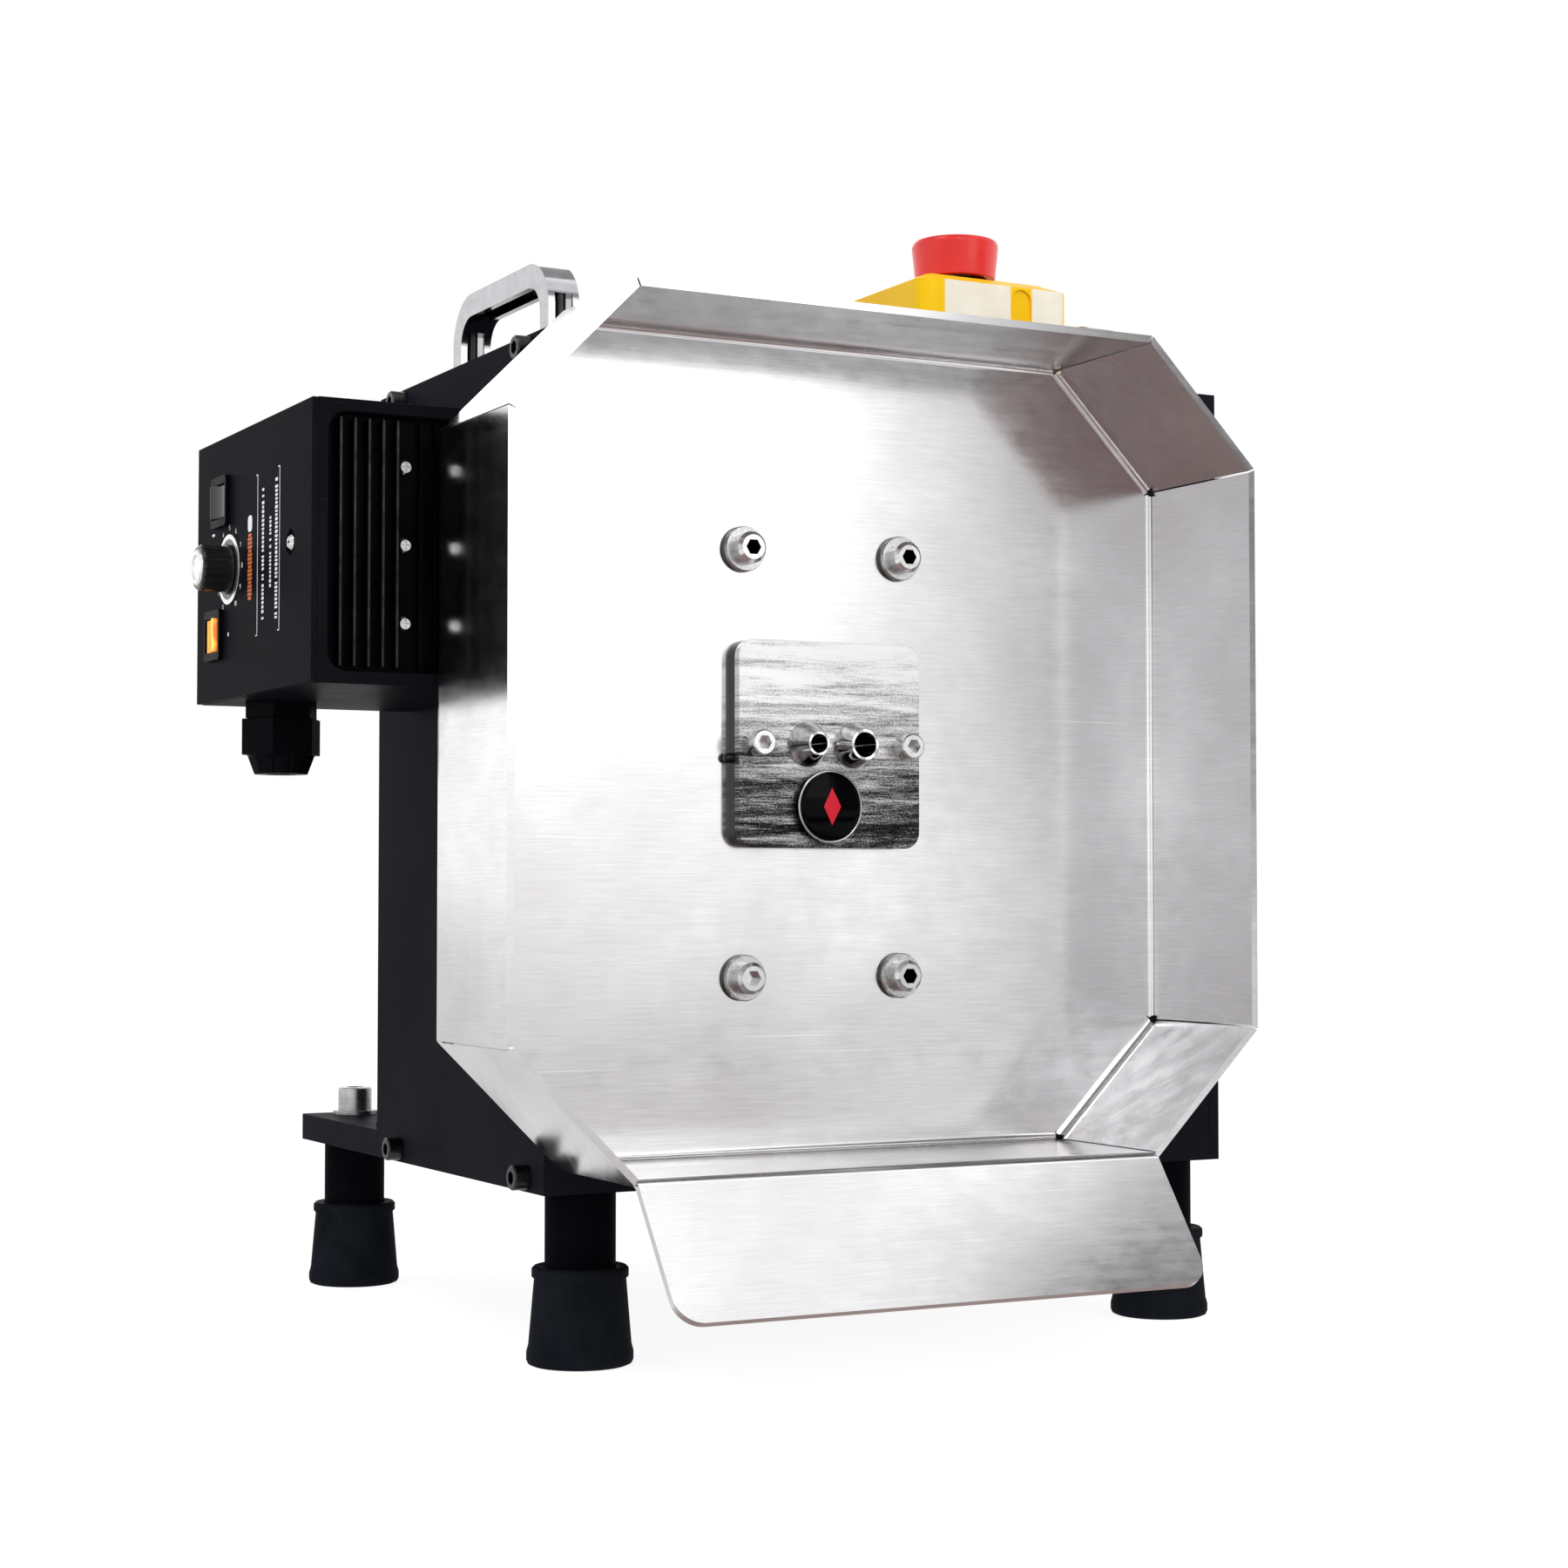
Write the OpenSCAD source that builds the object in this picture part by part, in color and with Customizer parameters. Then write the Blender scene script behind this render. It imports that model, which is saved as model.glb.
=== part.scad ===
// Tabletop stem stripper: stems are pushed into a nozzle, two driven rollers behind the
// die pull them through, the stripped flowers fall into the octagonal tray and slide
// down its apron, and the bare stems leave by the chute at the back.
// Millimetres, +Z up, floor at Z = 0, the tray faces -Y.

/* [Cabinet] */
// Overall width of the cabinet, outside the side plates
cabinet_w = 328; // [300:1:360]
// Depth of the cabinet, front plate to rear panel
cabinet_d = 190; // [180:1:240]
// Height of the cabinet, underside of base plate to top
cabinet_h = 344; // [330:1:380]
// How far the cabinet's middle lies to the right of the nozzles
cabinet_shift = 41; // [35:1:50]
// Thickness of the side plates
side_t = 5; // [4:0.5:8]
// Thickness of the base and top plates
plate_t = 12; // [12:1:16]
// Length of the base plate, front to back
base_l = 297; // [280:1:340]

/* [Collection tray] */
// Width and height of the octagonal tray
tray_w = 340; // [320:1:360]
// Depth of the tray's walls
tray_depth = 71; // [50:1:90]
// Length that each corner chamfer takes off a side
tray_chamfer = 52; // [40:1:64]
// Sheet thickness of the tray
tray_t = 3; // [2:0.5:4]
// Length of the apron's flat part, below its bend
apron_l = 58; // [40:1:66]
// Slope of the apron below the horizontal, degrees
apron_slope = 53; // [45:1:60]

/* [Nozzle die] */
// Width and height of the square die plate
die_w = 85; // [80:1:100]
// Thickness of the die plate
die_t = 4; // [3:0.5:6]
// Thickness of the backing plate behind it
backing_t = 4; // [2:0.5:5]
// Height of the nozzles above the floor
nozzle_z = 249; // [240:1:256]
// Distance between the two nozzles
nozzle_pitch = 21.6; // [20:0.2:24]
// Bore of the small nozzle
small_bore = 7.7; // [6:0.1:9]
// Bore of the large nozzle
large_bore = 10.3; // [9:0.1:12]
// How far the nozzles stand out of the die plate
nozzle_l = 10; // [7:0.5:12]

/* [Legs] */
// Height of the base plate's underside above the floor
leg_h = 69; // [60:1:90]
// Diameter of the leg posts
leg_d = 28.6; // [25:0.1:32]
// Height of the rubber feet
foot_h = 39; // [30:1:45]
// Widest diameter of the rubber feet
foot_d = 43; // [40:0.5:46]

/* [Rollers] */
// Diameter of the pulling rollers
roller_d = 42; // [36:1:42]
// Gap between the two rollers
roller_gap = 2; // [2:0.5:8]
// Length of the rollers
roller_l = 56; // [50:1:56]
// Diameter of the roller shafts
shaft_d = 12; // [10:1:14]
// Number of teeth on each roller gear, an even number
gear_teeth = 22; // [18:2:26]

/* [Stop button] */
// Width of the stop button's box
stop_w = 79; // [68:1:84]
// Depth of the stop button's box
stop_d = 72; // [64:1:80]
// Diameter of the mushroom button
mushroom_d = 40; // [36:1:44]
// Travel of the mushroom button
stop_travel = 4; // [3:0.5:4]

/* [Speed controller] */
// Width of the controller, side plate to control face
ctrl_w = 96.5; // [90:0.5:110]
// Depth of the controller, front to back
ctrl_d = 150; // [150:1:170]
// Height of the controller
ctrl_h = 109.5; // [105:0.5:120]
// Diameter of the speed knob
knob_d = 19; // [16:0.5:24]
// Length of the speed knob
knob_l = 12.5; // [10:0.5:16]

/* [Carrying handles] */
// Length of each handle along the cabinet's depth
handle_l = 106; // [100:1:120]
// Height of each handle
handle_h = 38; // [34:1:44]
// Width of each handle
handle_w = 14; // [13:1:18]

/* [Hidden] */
$fn = 64;
fit = 0.05;
clear = 0.15;
eps = 0.01;

cab_x0 = cabinet_shift - cabinet_w / 2;
cab_x1 = cab_x0 + cabinet_w;
in_x0 = cab_x0 + side_t;
in_x1 = cab_x1 - side_t;
cab_y0 = tray_t;
cab_y1 = cab_y0 + cabinet_d;
cab_z0 = leg_h;
cab_z1 = cab_z0 + cabinet_h;
base_top = cab_z0 + plate_t;
top_under = cab_z1 - plate_t;
front_t = 4;
rear_t = 2;
front_in = cab_y0 + front_t;

// Cap screws of the cabinet
side_head_d = 10;
side_head_h = 7;
side_shank_d = 6;
side_shank_l = side_t + 10;
side_screw_y = [cab_y0 + 17, cab_y0 + 160];
side_screw_z = [cab_z0 + plate_t / 2, cab_z1 - plate_t / 2];

// Legs
leg_x = [cab_x0 + 22.4, cab_x1 - 22.4];
leg_y = [cab_y0 + 15, cab_y0 + base_l - 14.5];
leg_shank_d = 10;
leg_shank_l = plate_t + 15;

// Tray
tray_half = tray_w / 2;
bend_in = 3;
bend_out = bend_in + tray_t;
chamfer_reach = (2 * tray_half - tray_chamfer) / sqrt(2);
seam = 0.8;
apron_corner = 11;
apron_start = tray_depth - 3;
bolt_dx = 36.8;
bolt_dz = [-95.5, 79.8];
washer_d = 19;
washer_t = 3.5;

// Die
die_front = -die_t - backing_t;
die_corner = 7;
die_screw_dx = 35;
cap_d = 29.5;
cap_t = 5;
cap_x = -2;
cap_dz = -25.5;
window_w = 48;
window_h = 26;
window_corner = 6;

// Rollers, their shafts and their gears
roller_y = front_in + 10 + roller_d / 2;
gear_pitch_r = (roller_d + roller_gap) / 2;
lower_z = nozzle_z - gear_pitch_r;
upper_z = nozzle_z + gear_pitch_r;
gear_module = 2 * gear_pitch_r / gear_teeth;
gear_w = 12;
bearing_d = 28;
bearing_t = 8;
frame_t = 15;
frame_x = bolt_dx;
frame_in = frame_x - frame_t / 2;
frame_out = frame_x + frame_t / 2;
frame_d = 100;
frame_z0 = nozzle_z - 108;
frame_z1 = nozzle_z + 92;
gear_x = -frame_out - 6 - gear_w;
shaft_x0 = gear_x - 4;
lower_shaft_x1 = frame_out + 17;
upper_shaft_x1 = frame_out + 4;
coupling_x0 = frame_out + 5.7;
coupling_l = 24;
coupling_d = 26;

// Gearmotor
bracket_t = 6;
bracket_foot = 50;
box_x0 = frame_out + 36;
box_l = 46;
box_w = 90;
box_y = roller_y + 18;
motor_l = 68;
motor_d = 84;
output_x0 = lower_shaft_x1 + 1;
output_x1 = box_x0 + 32;

// Chute for the bare stems
chute_t = 1.5;
chute_w = 2 * (frame_in - chute_t - fit);
chute_h = 58;
chute_y0 = front_in + frame_d - 42;
chute_y1 = cab_y1 + 26;
chute_z0 = nozzle_z - 12;
chute_drop = 26;
chute_slope = atan(chute_drop / (chute_y1 - chute_y0));
outlet_y = cab_y1 - chute_y0;
outlet_z = chute_z0 - outlet_y * tan(chute_slope);

// Stop button
stop_x = 115;
stop_y = 80;
stop_base_h = 18;
stop_wall_h = 49;
stop_bevel_h = 4;
stop_bevel_in = 9;
stop_corner = 7;
stop_groove_dx = 13;
stop_groove_w = 11;
stop_groove_t = 1.2;
lid_t = 2.5;
lid_top = cab_z1 + stop_wall_h + stop_bevel_h;
mushroom_z = lid_top + stop_travel + 0.5;
mushroom_h = 18;
collar_d = 27;
collar_below = 18;
plunger_d = 15;
plunger_stop_h = 2.5;
plunger_stop_z = lid_top - collar_below - 0.2 - plunger_stop_h;
plunger_tip_z = plunger_stop_z - 10;
contact_top = plunger_tip_z - stop_travel - 0.3;
mushroom_hollow_h = 8;
socket_h = 5;

// Speed controller
ctrl_x0 = cab_x0 - ctrl_w;
ctrl_y0 = cab_y0 + clear;
ctrl_z0 = nozzle_z + 19;
ctrl_t = 3;
face_t = 2.5;
ctrl_mid_z = ctrl_z0 + ctrl_h / 2;
sink_x = (ctrl_x0 + cab_x0) / 2;
sink_margin = 6.5;
sink_margin_z = 4.8;
sink_corner = 8;
sink_recess = 7;
fin_pitch = 5.75;
fin_count = 5;
dial_y = ctrl_y0 + 104.5;
dial_z = ctrl_mid_z - 1.3;
dial_d = 29;
knob_gap = 0.9;
cap_bulge = 1;
rocker_l = 15;
rocker_w = 13.6;
rocker_h = 7.6;
rocker_tilt = 10;
rocker_sink = 5;
rocker_play = 1.4;
pivot_d = 2.4;
switch_body = 19;
switch_depth = 20;
bezel_w = 21;
bezel_t = 2;
run_switch = [ctrl_y0 + 115, ctrl_mid_z + 27.8];
power_switch = [ctrl_y0 + 123, ctrl_mid_z - 27.3];
face_screw = [ctrl_y0 + 25.7, ctrl_mid_z + 1.4];
gland_x = ctrl_x0 + 26;
gland_y = ctrl_y0 + 115;
gland_bore = 13;
sink_screw_dx = 9;
sink_screw_dz = [-30.5, 0, 30.5];
lead_hole_y = cab_y0 + 60;
lead_hole_d = 14;
collar_hole_d = 22;

// Handles
handle_bar = 9;
handle_wall = 3;
handle_screw_d = 5;
handle_bend = 21;
handle_y0 = cab_y0 + 37;
handle_x = [cab_x0 + 23.8, cab_x1 - 28];
handle_screw_y = [handle_y0 + handle_bar / 2, handle_y0 + handle_l - handle_bar / 2];
handle_boss_z = handle_h - 15;
handle_boss_h = 6;
handle_screw_top = handle_boss_z + 1;
handle_screw_l = plate_t + handle_screw_top;

// The row's origin: under the middle of the whole machine, on the floor
x_min = ctrl_x0 - knob_gap - knob_l - cap_bulge;
x_max = cab_x1 + side_head_h;
y_min = -apron_start - apron_l * cos(apron_slope) - bend_out * sin(apron_slope);
y_max = leg_y[1] + foot_d / 2;
origin = [(x_min + x_max) / 2, (y_min + y_max) / 2, 0];

// ---- Placing ----

// Moves a node from the nozzle's own frame to the row's frame
module placed() {
    translate(-origin) children();
}

// Local +Z points forward (-Y), local +Y points up
module facing_front(x, y, z) {
    translate([x, y, z]) rotate([90, 0, 0]) children();
}

// Local +Z points backward (+Y)
module facing_back(x, y, z) {
    translate([x, y, z]) rotate([-90, 0, 0]) children();
}

// Local +Z points left (-X), local +X points up, local +Y points back
module facing_left(x, y, z) {
    translate([x, y, z]) rotate([0, -90, 0]) children();
}

// Local +Z points right (+X)
module facing_right(x, y, z) {
    translate([x, y, z]) rotate([0, 90, 0]) children();
}

// A box between two corners
module box(low, high) {
    translate(low) cube(high - low);
}

// ---- Shared shapes ----

module rounded_rect(w, h, r) {
    square([w - 2 * r, h], center = true);
    square([w, h - 2 * r], center = true);
    for (sx = [-1, 1], sy = [-1, 1])
        translate([sx * (w / 2 - r), sy * (h / 2 - r)]) circle(r = r);
}

module octagon(half, chamfer) {
    c = half - chamfer;
    polygon([[-c, -half], [c, -half], [half, -c], [half, c],
             [c, half], [-c, half], [-half, c], [-half, -c]]);
}

// A socket-head cap screw, seat at Z = 0 and head above it
module cap_screw(head_d, head_h, shank_d, shank_l) {
    edge = 0.6;
    difference() {
        union() {
            cylinder(d = head_d, h = head_h - edge);
            translate([0, 0, head_h - edge]) cylinder(d1 = head_d, d2 = head_d - 2 * edge, h = edge);
            translate([0, 0, -shank_l]) cylinder(d = shank_d, h = shank_l + eps);
        }
        translate([0, 0, head_h * 0.4]) cylinder(d = head_d * 0.58, h = head_h, $fn = 6);
    }
}

// A pan-head screw with a cross recess, seat at Z = 0
pan_head_d = 6;
pan_head_h = 2.2;
pan_shank_d = 3;
module pan_screw(shank_l) {
    slot = 0.8;
    difference() {
        union() {
            cylinder(d = pan_head_d, h = pan_head_h / 2);
            translate([0, 0, pan_head_h / 2])
                cylinder(d1 = pan_head_d, d2 = pan_head_d * 0.7, h = pan_head_h / 2);
            translate([0, 0, -shank_l]) cylinder(d = pan_shank_d, h = shank_l + eps);
        }
        for (turn = [0, 90])
            rotate(turn) translate([-pan_head_d * 0.3, -slot / 2, pan_head_h * 0.4])
                cube([pan_head_d * 0.6, slot, pan_head_h]);
    }
}

// ---- Cabinet ----

module plate_edge_holes() {
    for (z = side_screw_z, y = side_screw_y) {
        facing_left(in_x0 + side_shank_l, y, z) cylinder(d = side_shank_d + 2 * clear, h = side_shank_l * 2);
        facing_right(in_x1 - side_shank_l, y, z) cylinder(d = side_shank_d + 2 * clear, h = side_shank_l * 2);
    }
}

// The base lies between the side plates and widens behind them
module base_plate() {
    corner = 3;
    color("#1b1b1e") placed() difference() {
        translate([0, 0, cab_z0]) linear_extrude(plate_t) {
            translate([in_x0, cab_y0]) square([in_x1 - in_x0, base_l - corner]);
            translate([cab_x0, cab_y1]) square([cabinet_w, base_l - cabinet_d - corner]);
            translate([cab_x0 + corner, cab_y1]) square([cabinet_w - 2 * corner, base_l - cabinet_d]);
            for (x = [cab_x0 + corner, cab_x1 - corner])
                translate([x, cab_y0 + base_l - corner]) circle(r = corner);
        }
        plate_edge_holes();
        rear_foot_spots() translate([0, 0, -12]) cylinder(d = pan_shank_d + 2 * clear, h = 20);
        for (x = leg_x, y = leg_y)
            translate([x, y, cab_z0 - 1]) cylinder(d = leg_shank_d + 2 * clear, h = plate_t + 2);
        bracket_foot_spots() translate([0, 0, -15]) cylinder(d = side_shank_d + 2 * clear, h = 20);
    }
}

module top_plate() {
    cable_hole_d = 20;
    color("#1b1b1e") placed() difference() {
        box([in_x0, cab_y0, top_under], [in_x1, cab_y1 - rear_t, cab_z1]);
        plate_edge_holes();
        translate([stop_x, stop_y, top_under - 1]) cylinder(d = cable_hole_d, h = plate_t + 2);
        for (x = handle_x, y = handle_screw_y)
            translate([x, y, top_under - 1]) cylinder(d = handle_screw_d + 2 * clear, h = plate_t + 2);
        rear_screw_spots() translate([0, 0, -12]) cylinder(d = pan_shank_d + 2 * clear, h = 20);
    }
}

module front_plate() {
    color("#1b1b1e") placed() difference() {
        box([in_x0, cab_y0, base_top], [in_x1, front_in, top_under]);
        facing_front(0, front_in + 1, nozzle_z)
            linear_extrude(front_t + 2) rounded_rect(window_w, window_h, window_corner);
        tray_bolt_spots() translate([0, 0, -front_in - 1]) cylinder(d = 8 + 2 * clear, h = front_in + 2);
        die_screw_spots() translate([0, 0, -40]) cylinder(d = side_shank_d + 2 * clear, h = 60);
    }
}

// One side plate, its left face at x, with holes for its four cap screws
module side_plate(x) {
    difference() {
        box([x, cab_y0, cab_z0], [x + side_t, cab_y1, cab_z1]);
        for (z = side_screw_z, y = side_screw_y)
            facing_right(x - 1, y, z) cylinder(d = side_shank_d + 2 * clear, h = side_t + 2);
    }
}

module left_side_plate() {
    color("#1b1b1e") placed() difference() {
        side_plate(cab_x0);
        facing_right(cab_x0 - 1, lead_hole_y, ctrl_mid_z) cylinder(d = lead_hole_d, h = side_t + 2);
    }
}

module right_side_plate() {
    color("#1b1b1e") placed() side_plate(in_x1);
}

// Places a child at each screw of the rear panel, pointing backward
module rear_screw_spots() {
    for (x = [in_x0 + 14, (in_x0 + in_x1) / 2, in_x1 - 14])
        facing_back(x, cab_y1, top_under + plate_t / 2) children();
}

// Places a child at each screw of the rear panel's foot, pointing up
module rear_foot_spots() {
    for (x = [in_x0 + 14, in_x1 - 14])
        translate([x, cab_y1 + 8, base_top + rear_t]) children();
}

module rear_panel() {
    foot = 15;
    louvre_w = 60;
    louvre_h = 3;
    louvre_pitch = 9;
    louvre_rows = 7;
    color("#202023") placed() difference() {
        union() {
            box([in_x0 + clear, cab_y1 - rear_t, base_top], [in_x1 - clear, cab_y1, cab_z1]);
            box([in_x0 + clear, cab_y1 - eps, base_top], [in_x1 - clear, cab_y1 + foot, base_top + rear_t]);
        }
        translate([-chute_w / 2 - chute_t - 1, cab_y1 - 10, outlet_z - chute_t - 3])
            cube([chute_w + 2 * chute_t + 2, 20, chute_h + 8]);
        for (row = [0 : louvre_rows - 1], x = [in_x0 + 40, in_x1 - 50])
            facing_back(x, cab_y1 - 10, base_top + 40 + row * louvre_pitch)
                linear_extrude(20) rounded_rect(louvre_w, louvre_h, louvre_h / 2 - eps);
        rear_screw_spots() translate([0, 0, -12]) cylinder(d = pan_shank_d + 2 * clear, h = 20);
        rear_foot_spots() translate([0, 0, -10]) cylinder(d = pan_shank_d + 2 * clear, h = 20);
    }
}

module side_plate_screws() {
    color("#2b2b2e") placed() for (z = side_screw_z, y = side_screw_y) {
        facing_left(cab_x0, y, z) cap_screw(side_head_d, side_head_h, side_shank_d, side_shank_l);
        facing_right(cab_x1, y, z) cap_screw(side_head_d, side_head_h, side_shank_d, side_shank_l);
    }
}

// ---- Legs ----

module leg_posts() {
    wall = 2.5;
    plug = 20;
    floor_t = 5;
    color("#161618") placed() for (x = leg_x, y = leg_y) translate([x, y, 0]) difference() {
        translate([0, 0, floor_t]) cylinder(d = leg_d, h = leg_h - floor_t);
        translate([0, 0, floor_t - 1]) cylinder(d = leg_d - 2 * wall, h = leg_h - floor_t - plug + 1);
        translate([0, 0, leg_h - plug + 4]) cylinder(d = leg_shank_d + 2 * clear, h = plug);
    }
}

module rubber_feet() {
    floor_t = 5;
    rim_h = 4;
    rim_d = foot_d - 4;
    neck_d = foot_d - 6;
    color("#101012") placed() for (x = leg_x, y = leg_y) translate([x, y, 0]) rotate_extrude()
        polygon([[0, 0], [foot_d / 2 - 2, 0], [foot_d / 2 - 0.6, 0.6], [foot_d / 2, 2],
                 [foot_d / 2, 5], [foot_d / 2 - 0.8, 8], [neck_d / 2, foot_h - rim_h - 1],
                 [rim_d / 2, foot_h - rim_h], [rim_d / 2, foot_h - 1], [rim_d / 2 - 1, foot_h],
                 [leg_d / 2 + clear, foot_h], [leg_d / 2 + clear, floor_t], [0, floor_t]]);
}

module leg_bolts() {
    washer_h = 2;
    color("#8c8c90") placed() for (x = leg_x, y = leg_y) {
        translate([x, y, base_top + washer_h + eps]) cap_screw(16, 11, leg_shank_d, leg_shank_l);
        translate([x, y, base_top]) difference() {
            cylinder(d = 21, h = washer_h);
            translate([0, 0, -1]) cylinder(d = leg_shank_d + 2 * clear, h = washer_h + 2);
        }
    }
}

// ---- Collection tray ----

// Places a child at each tray bolt on the tray's face, pointing forward
module tray_bolt_spots() {
    for (sx = [-1, 1], dz = bolt_dz)
        facing_front(sx * bolt_dx, 0, nozzle_z + dz) children();
}

// One folded wall: X runs along it, Y is outward, Z is forward. reach is the distance
// from the tray's middle to the wall's outer face, run is the wall's length there and
// depth is how far forward the wall reaches.
module tray_wall(run, reach, depth) {
    lap = 1;
    mitre = tan(22.5);
    deep = bend_out + lap;
    half_run = run / 2 - seam / 2;
    intersection() {
        rotate([90, 0, 90]) linear_extrude(run, center = true) {
            translate([reach - tray_t, bend_in]) square([tray_t, depth - bend_in]);
            translate([reach - bend_out - lap, -tray_t]) square([lap, tray_t]);
            intersection() {
                translate([reach - bend_out, bend_in]) difference() {
                    circle(r = bend_out);
                    circle(r = bend_in);
                }
                translate([reach - bend_out, bend_in - bend_out]) square(bend_out);
            }
        }
        translate([0, 0, -tray_t - 1]) linear_extrude(depth + tray_t + 2)
            polygon([[-half_run, reach], [half_run, reach],
                     [half_run - deep * mitre, reach - deep], [-half_run + deep * mitre, reach - deep]]);
    }
}

// The apron folded out of the bottom wall, in that wall's own axes
module tray_apron(run) {
    sweep = 90 - apron_slope;
    far = 2 * bend_out;
    translate([0, tray_half + bend_in, apron_start - eps]) {
        rotate([90, 0, 90]) linear_extrude(run, center = true) intersection() {
            difference() {
                circle(r = bend_out);
                circle(r = bend_in);
            }
            polygon([[0, 0], [-far, 0], [-far, far * cos(sweep)],
                     [-far * cos(apron_slope), far * sin(apron_slope)]]);
        }
        rotate([sweep, 0, 0]) translate([0, 0, bend_in]) linear_extrude(tray_t) {
            translate([-run / 2, -eps]) square([run, apron_l - apron_corner + eps]);
            translate([-run / 2 + apron_corner, 0]) square([run - 2 * apron_corner, apron_l]);
            for (sx = [-1, 1])
                translate([sx * (run / 2 - apron_corner), apron_l - apron_corner]) circle(r = apron_corner);
        }
    }
}

module collection_tray() {
    relief_r = 2;
    inset_chamfer = tray_chamfer - (2 - sqrt(2)) * bend_out;
    flat_half = tray_half - bend_out;
    relief_half = tray_half - tray_t;
    relief_chamfer = tray_chamfer - (2 - sqrt(2)) * tray_t;
    main_run = tray_w - 2 * tray_chamfer;
    corner_run = tray_chamfer * sqrt(2);
    color("#c9cacd") placed() facing_front(0, 0, nozzle_z) difference() {
        union() {
            translate([0, 0, -tray_t]) linear_extrude(tray_t) octagon(flat_half, inset_chamfer);
            for (side = [-1 : 1]) rotate(side * 90) tray_wall(main_run, tray_half, tray_depth);
            rotate(180) tray_wall(main_run, tray_half, apron_start);
            for (corner = [0 : 3]) rotate(45 + corner * 90) tray_wall(corner_run, chamfer_reach, tray_depth);
            rotate(180) tray_apron(main_run - seam);
        }
        for (turn = [0 : 3], s = [-1, 1])
            rotate(turn * 90) translate([s * (relief_half - relief_chamfer), relief_half, -tray_t - 1])
                cylinder(r = relief_r, h = tray_t + bend_in + 1);
        for (sx = [-1, 1], dz = bolt_dz)
            translate([sx * bolt_dx, dz, -tray_t - 1]) cylinder(d = 9, h = tray_t + 2);
        for (sx = [-1, 1])
            translate([sx * die_screw_dx, 0, -tray_t - 1])
                cylinder(d = side_shank_d + 2 * clear, h = tray_t + 2);
        translate([0, 0, -tray_t - 1]) linear_extrude(tray_t + 2) rounded_rect(window_w, window_h, window_corner);
    }
}

module tray_washers() {
    color("#9a9a9e") placed() tray_bolt_spots() difference() {
        union() {
            cylinder(d = washer_d - 0.6, h = 2);
            translate([0, 0, 2 - eps]) cylinder(d1 = washer_d, d2 = washer_d - 1, h = washer_t - 2 + eps);
        }
        translate([0, 0, -1]) cylinder(d = 8 + 2 * clear, h = washer_t + 2);
    }
}

module tray_bolts() {
    color("#b4b4b8") placed() tray_bolt_spots() translate([0, 0, washer_t]) {
        difference() {
            union() {
                cylinder(d = 13, h = 5);
                translate([0, 0, 5 - eps]) cylinder(d1 = 13, d2 = 10, h = 1.5);
                translate([0, 0, -36]) cylinder(d = 8, h = 36 + eps);
            }
            translate([0, 0, 2.5]) cylinder(d = 6.9, h = 6, $fn = 6);
        }
    }
}

// ---- Nozzle die ----

// Places a child at each die screw on the die plate's face, pointing forward
module die_screw_spots() {
    for (sx = [-1, 1])
        facing_front(sx * die_screw_dx, die_front, nozzle_z) children();
}

small_spigot_d = 13;
large_spigot_d = 15.5;

module die_outline(thick, front) {
    facing_front(0, front + thick, nozzle_z) difference() {
        linear_extrude(thick) rounded_rect(die_w, die_w, die_corner);
        translate([-nozzle_pitch / 2, 0, -1]) cylinder(d = small_spigot_d, h = thick + 2);
        translate([nozzle_pitch / 2, 0, -1]) cylinder(d = large_spigot_d, h = thick + 2);
        for (sx = [-1, 1])
            translate([sx * die_screw_dx, 0, -1]) cylinder(d = side_shank_d + 2 * clear, h = thick + 2);
    }
}

module die_plate() {
    color("#6d6d70") placed() die_outline(die_t, die_front);
}

module die_backing_plate() {
    color("#26262a") placed() die_outline(backing_t, -backing_t);
}

// A conical nozzle with a spigot that fills its hole in both plates
module nozzle(x, bore, spigot_d, base_d, tip_wall) {
    spigot_l = -die_front;
    lip = 0.8;
    facing_front(x, 0, nozzle_z) rotate_extrude()
        polygon([[bore / 2, 0], [spigot_d / 2, 0], [spigot_d / 2, spigot_l], [base_d / 2, spigot_l],
                 [base_d / 2, spigot_l + lip], [bore / 2 + tip_wall, spigot_l + nozzle_l],
                 [bore / 2, spigot_l + nozzle_l]]);
}

module small_nozzle() {
    color("#a8a8ac") placed() nozzle(-nozzle_pitch / 2, small_bore, small_spigot_d, 18.5, 1);
}

module large_nozzle() {
    color("#a8a8ac") placed() nozzle(nozzle_pitch / 2, large_bore, large_spigot_d, 19, 1.2);
}

module die_screws() {
    color("#b0b0b4") placed() die_screw_spots() cap_screw(10.5, 8.5, side_shank_d, 28);
}

module die_cap() {
    color("#0b0b0d") placed() facing_front(cap_x, die_front, nozzle_z + cap_dz) rotate_extrude()
        polygon([[0, 0], [cap_d / 2, 0], [cap_d / 2, cap_t - 1.2], [cap_d / 2 - 0.4, cap_t - 0.5],
                 [cap_d / 2 - 1.3, cap_t], [0, cap_t]]);
}

module die_side_pin() {
    pin_d = 4;
    pin_out = 4;
    pin_edge = 0.8;
    color("#1d1d20") placed()
        facing_left(-die_w / 2, -backing_t / 2, nozzle_z - 6) {
            cylinder(d = pin_d, h = pin_out - pin_edge);
            translate([0, 0, pin_out - pin_edge - eps])
                cylinder(d1 = pin_d, d2 = pin_d - 2 * pin_edge, h = pin_edge);
        }
}

// ---- Carrying handles ----

module arch(l, h, r) {
    square([l, h - r]);
    translate([r, 0]) square([l - 2 * r, h]);
    for (x = [r, l - r]) translate([x, h - r]) intersection() {
        circle(r = r);
        translate([-r, -eps]) square([2 * r, r + 1]);
    }
}

module handle_arch(inset, r) {
    translate([inset, 0]) arch(handle_l - 2 * inset, handle_h - inset, r);
}

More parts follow.
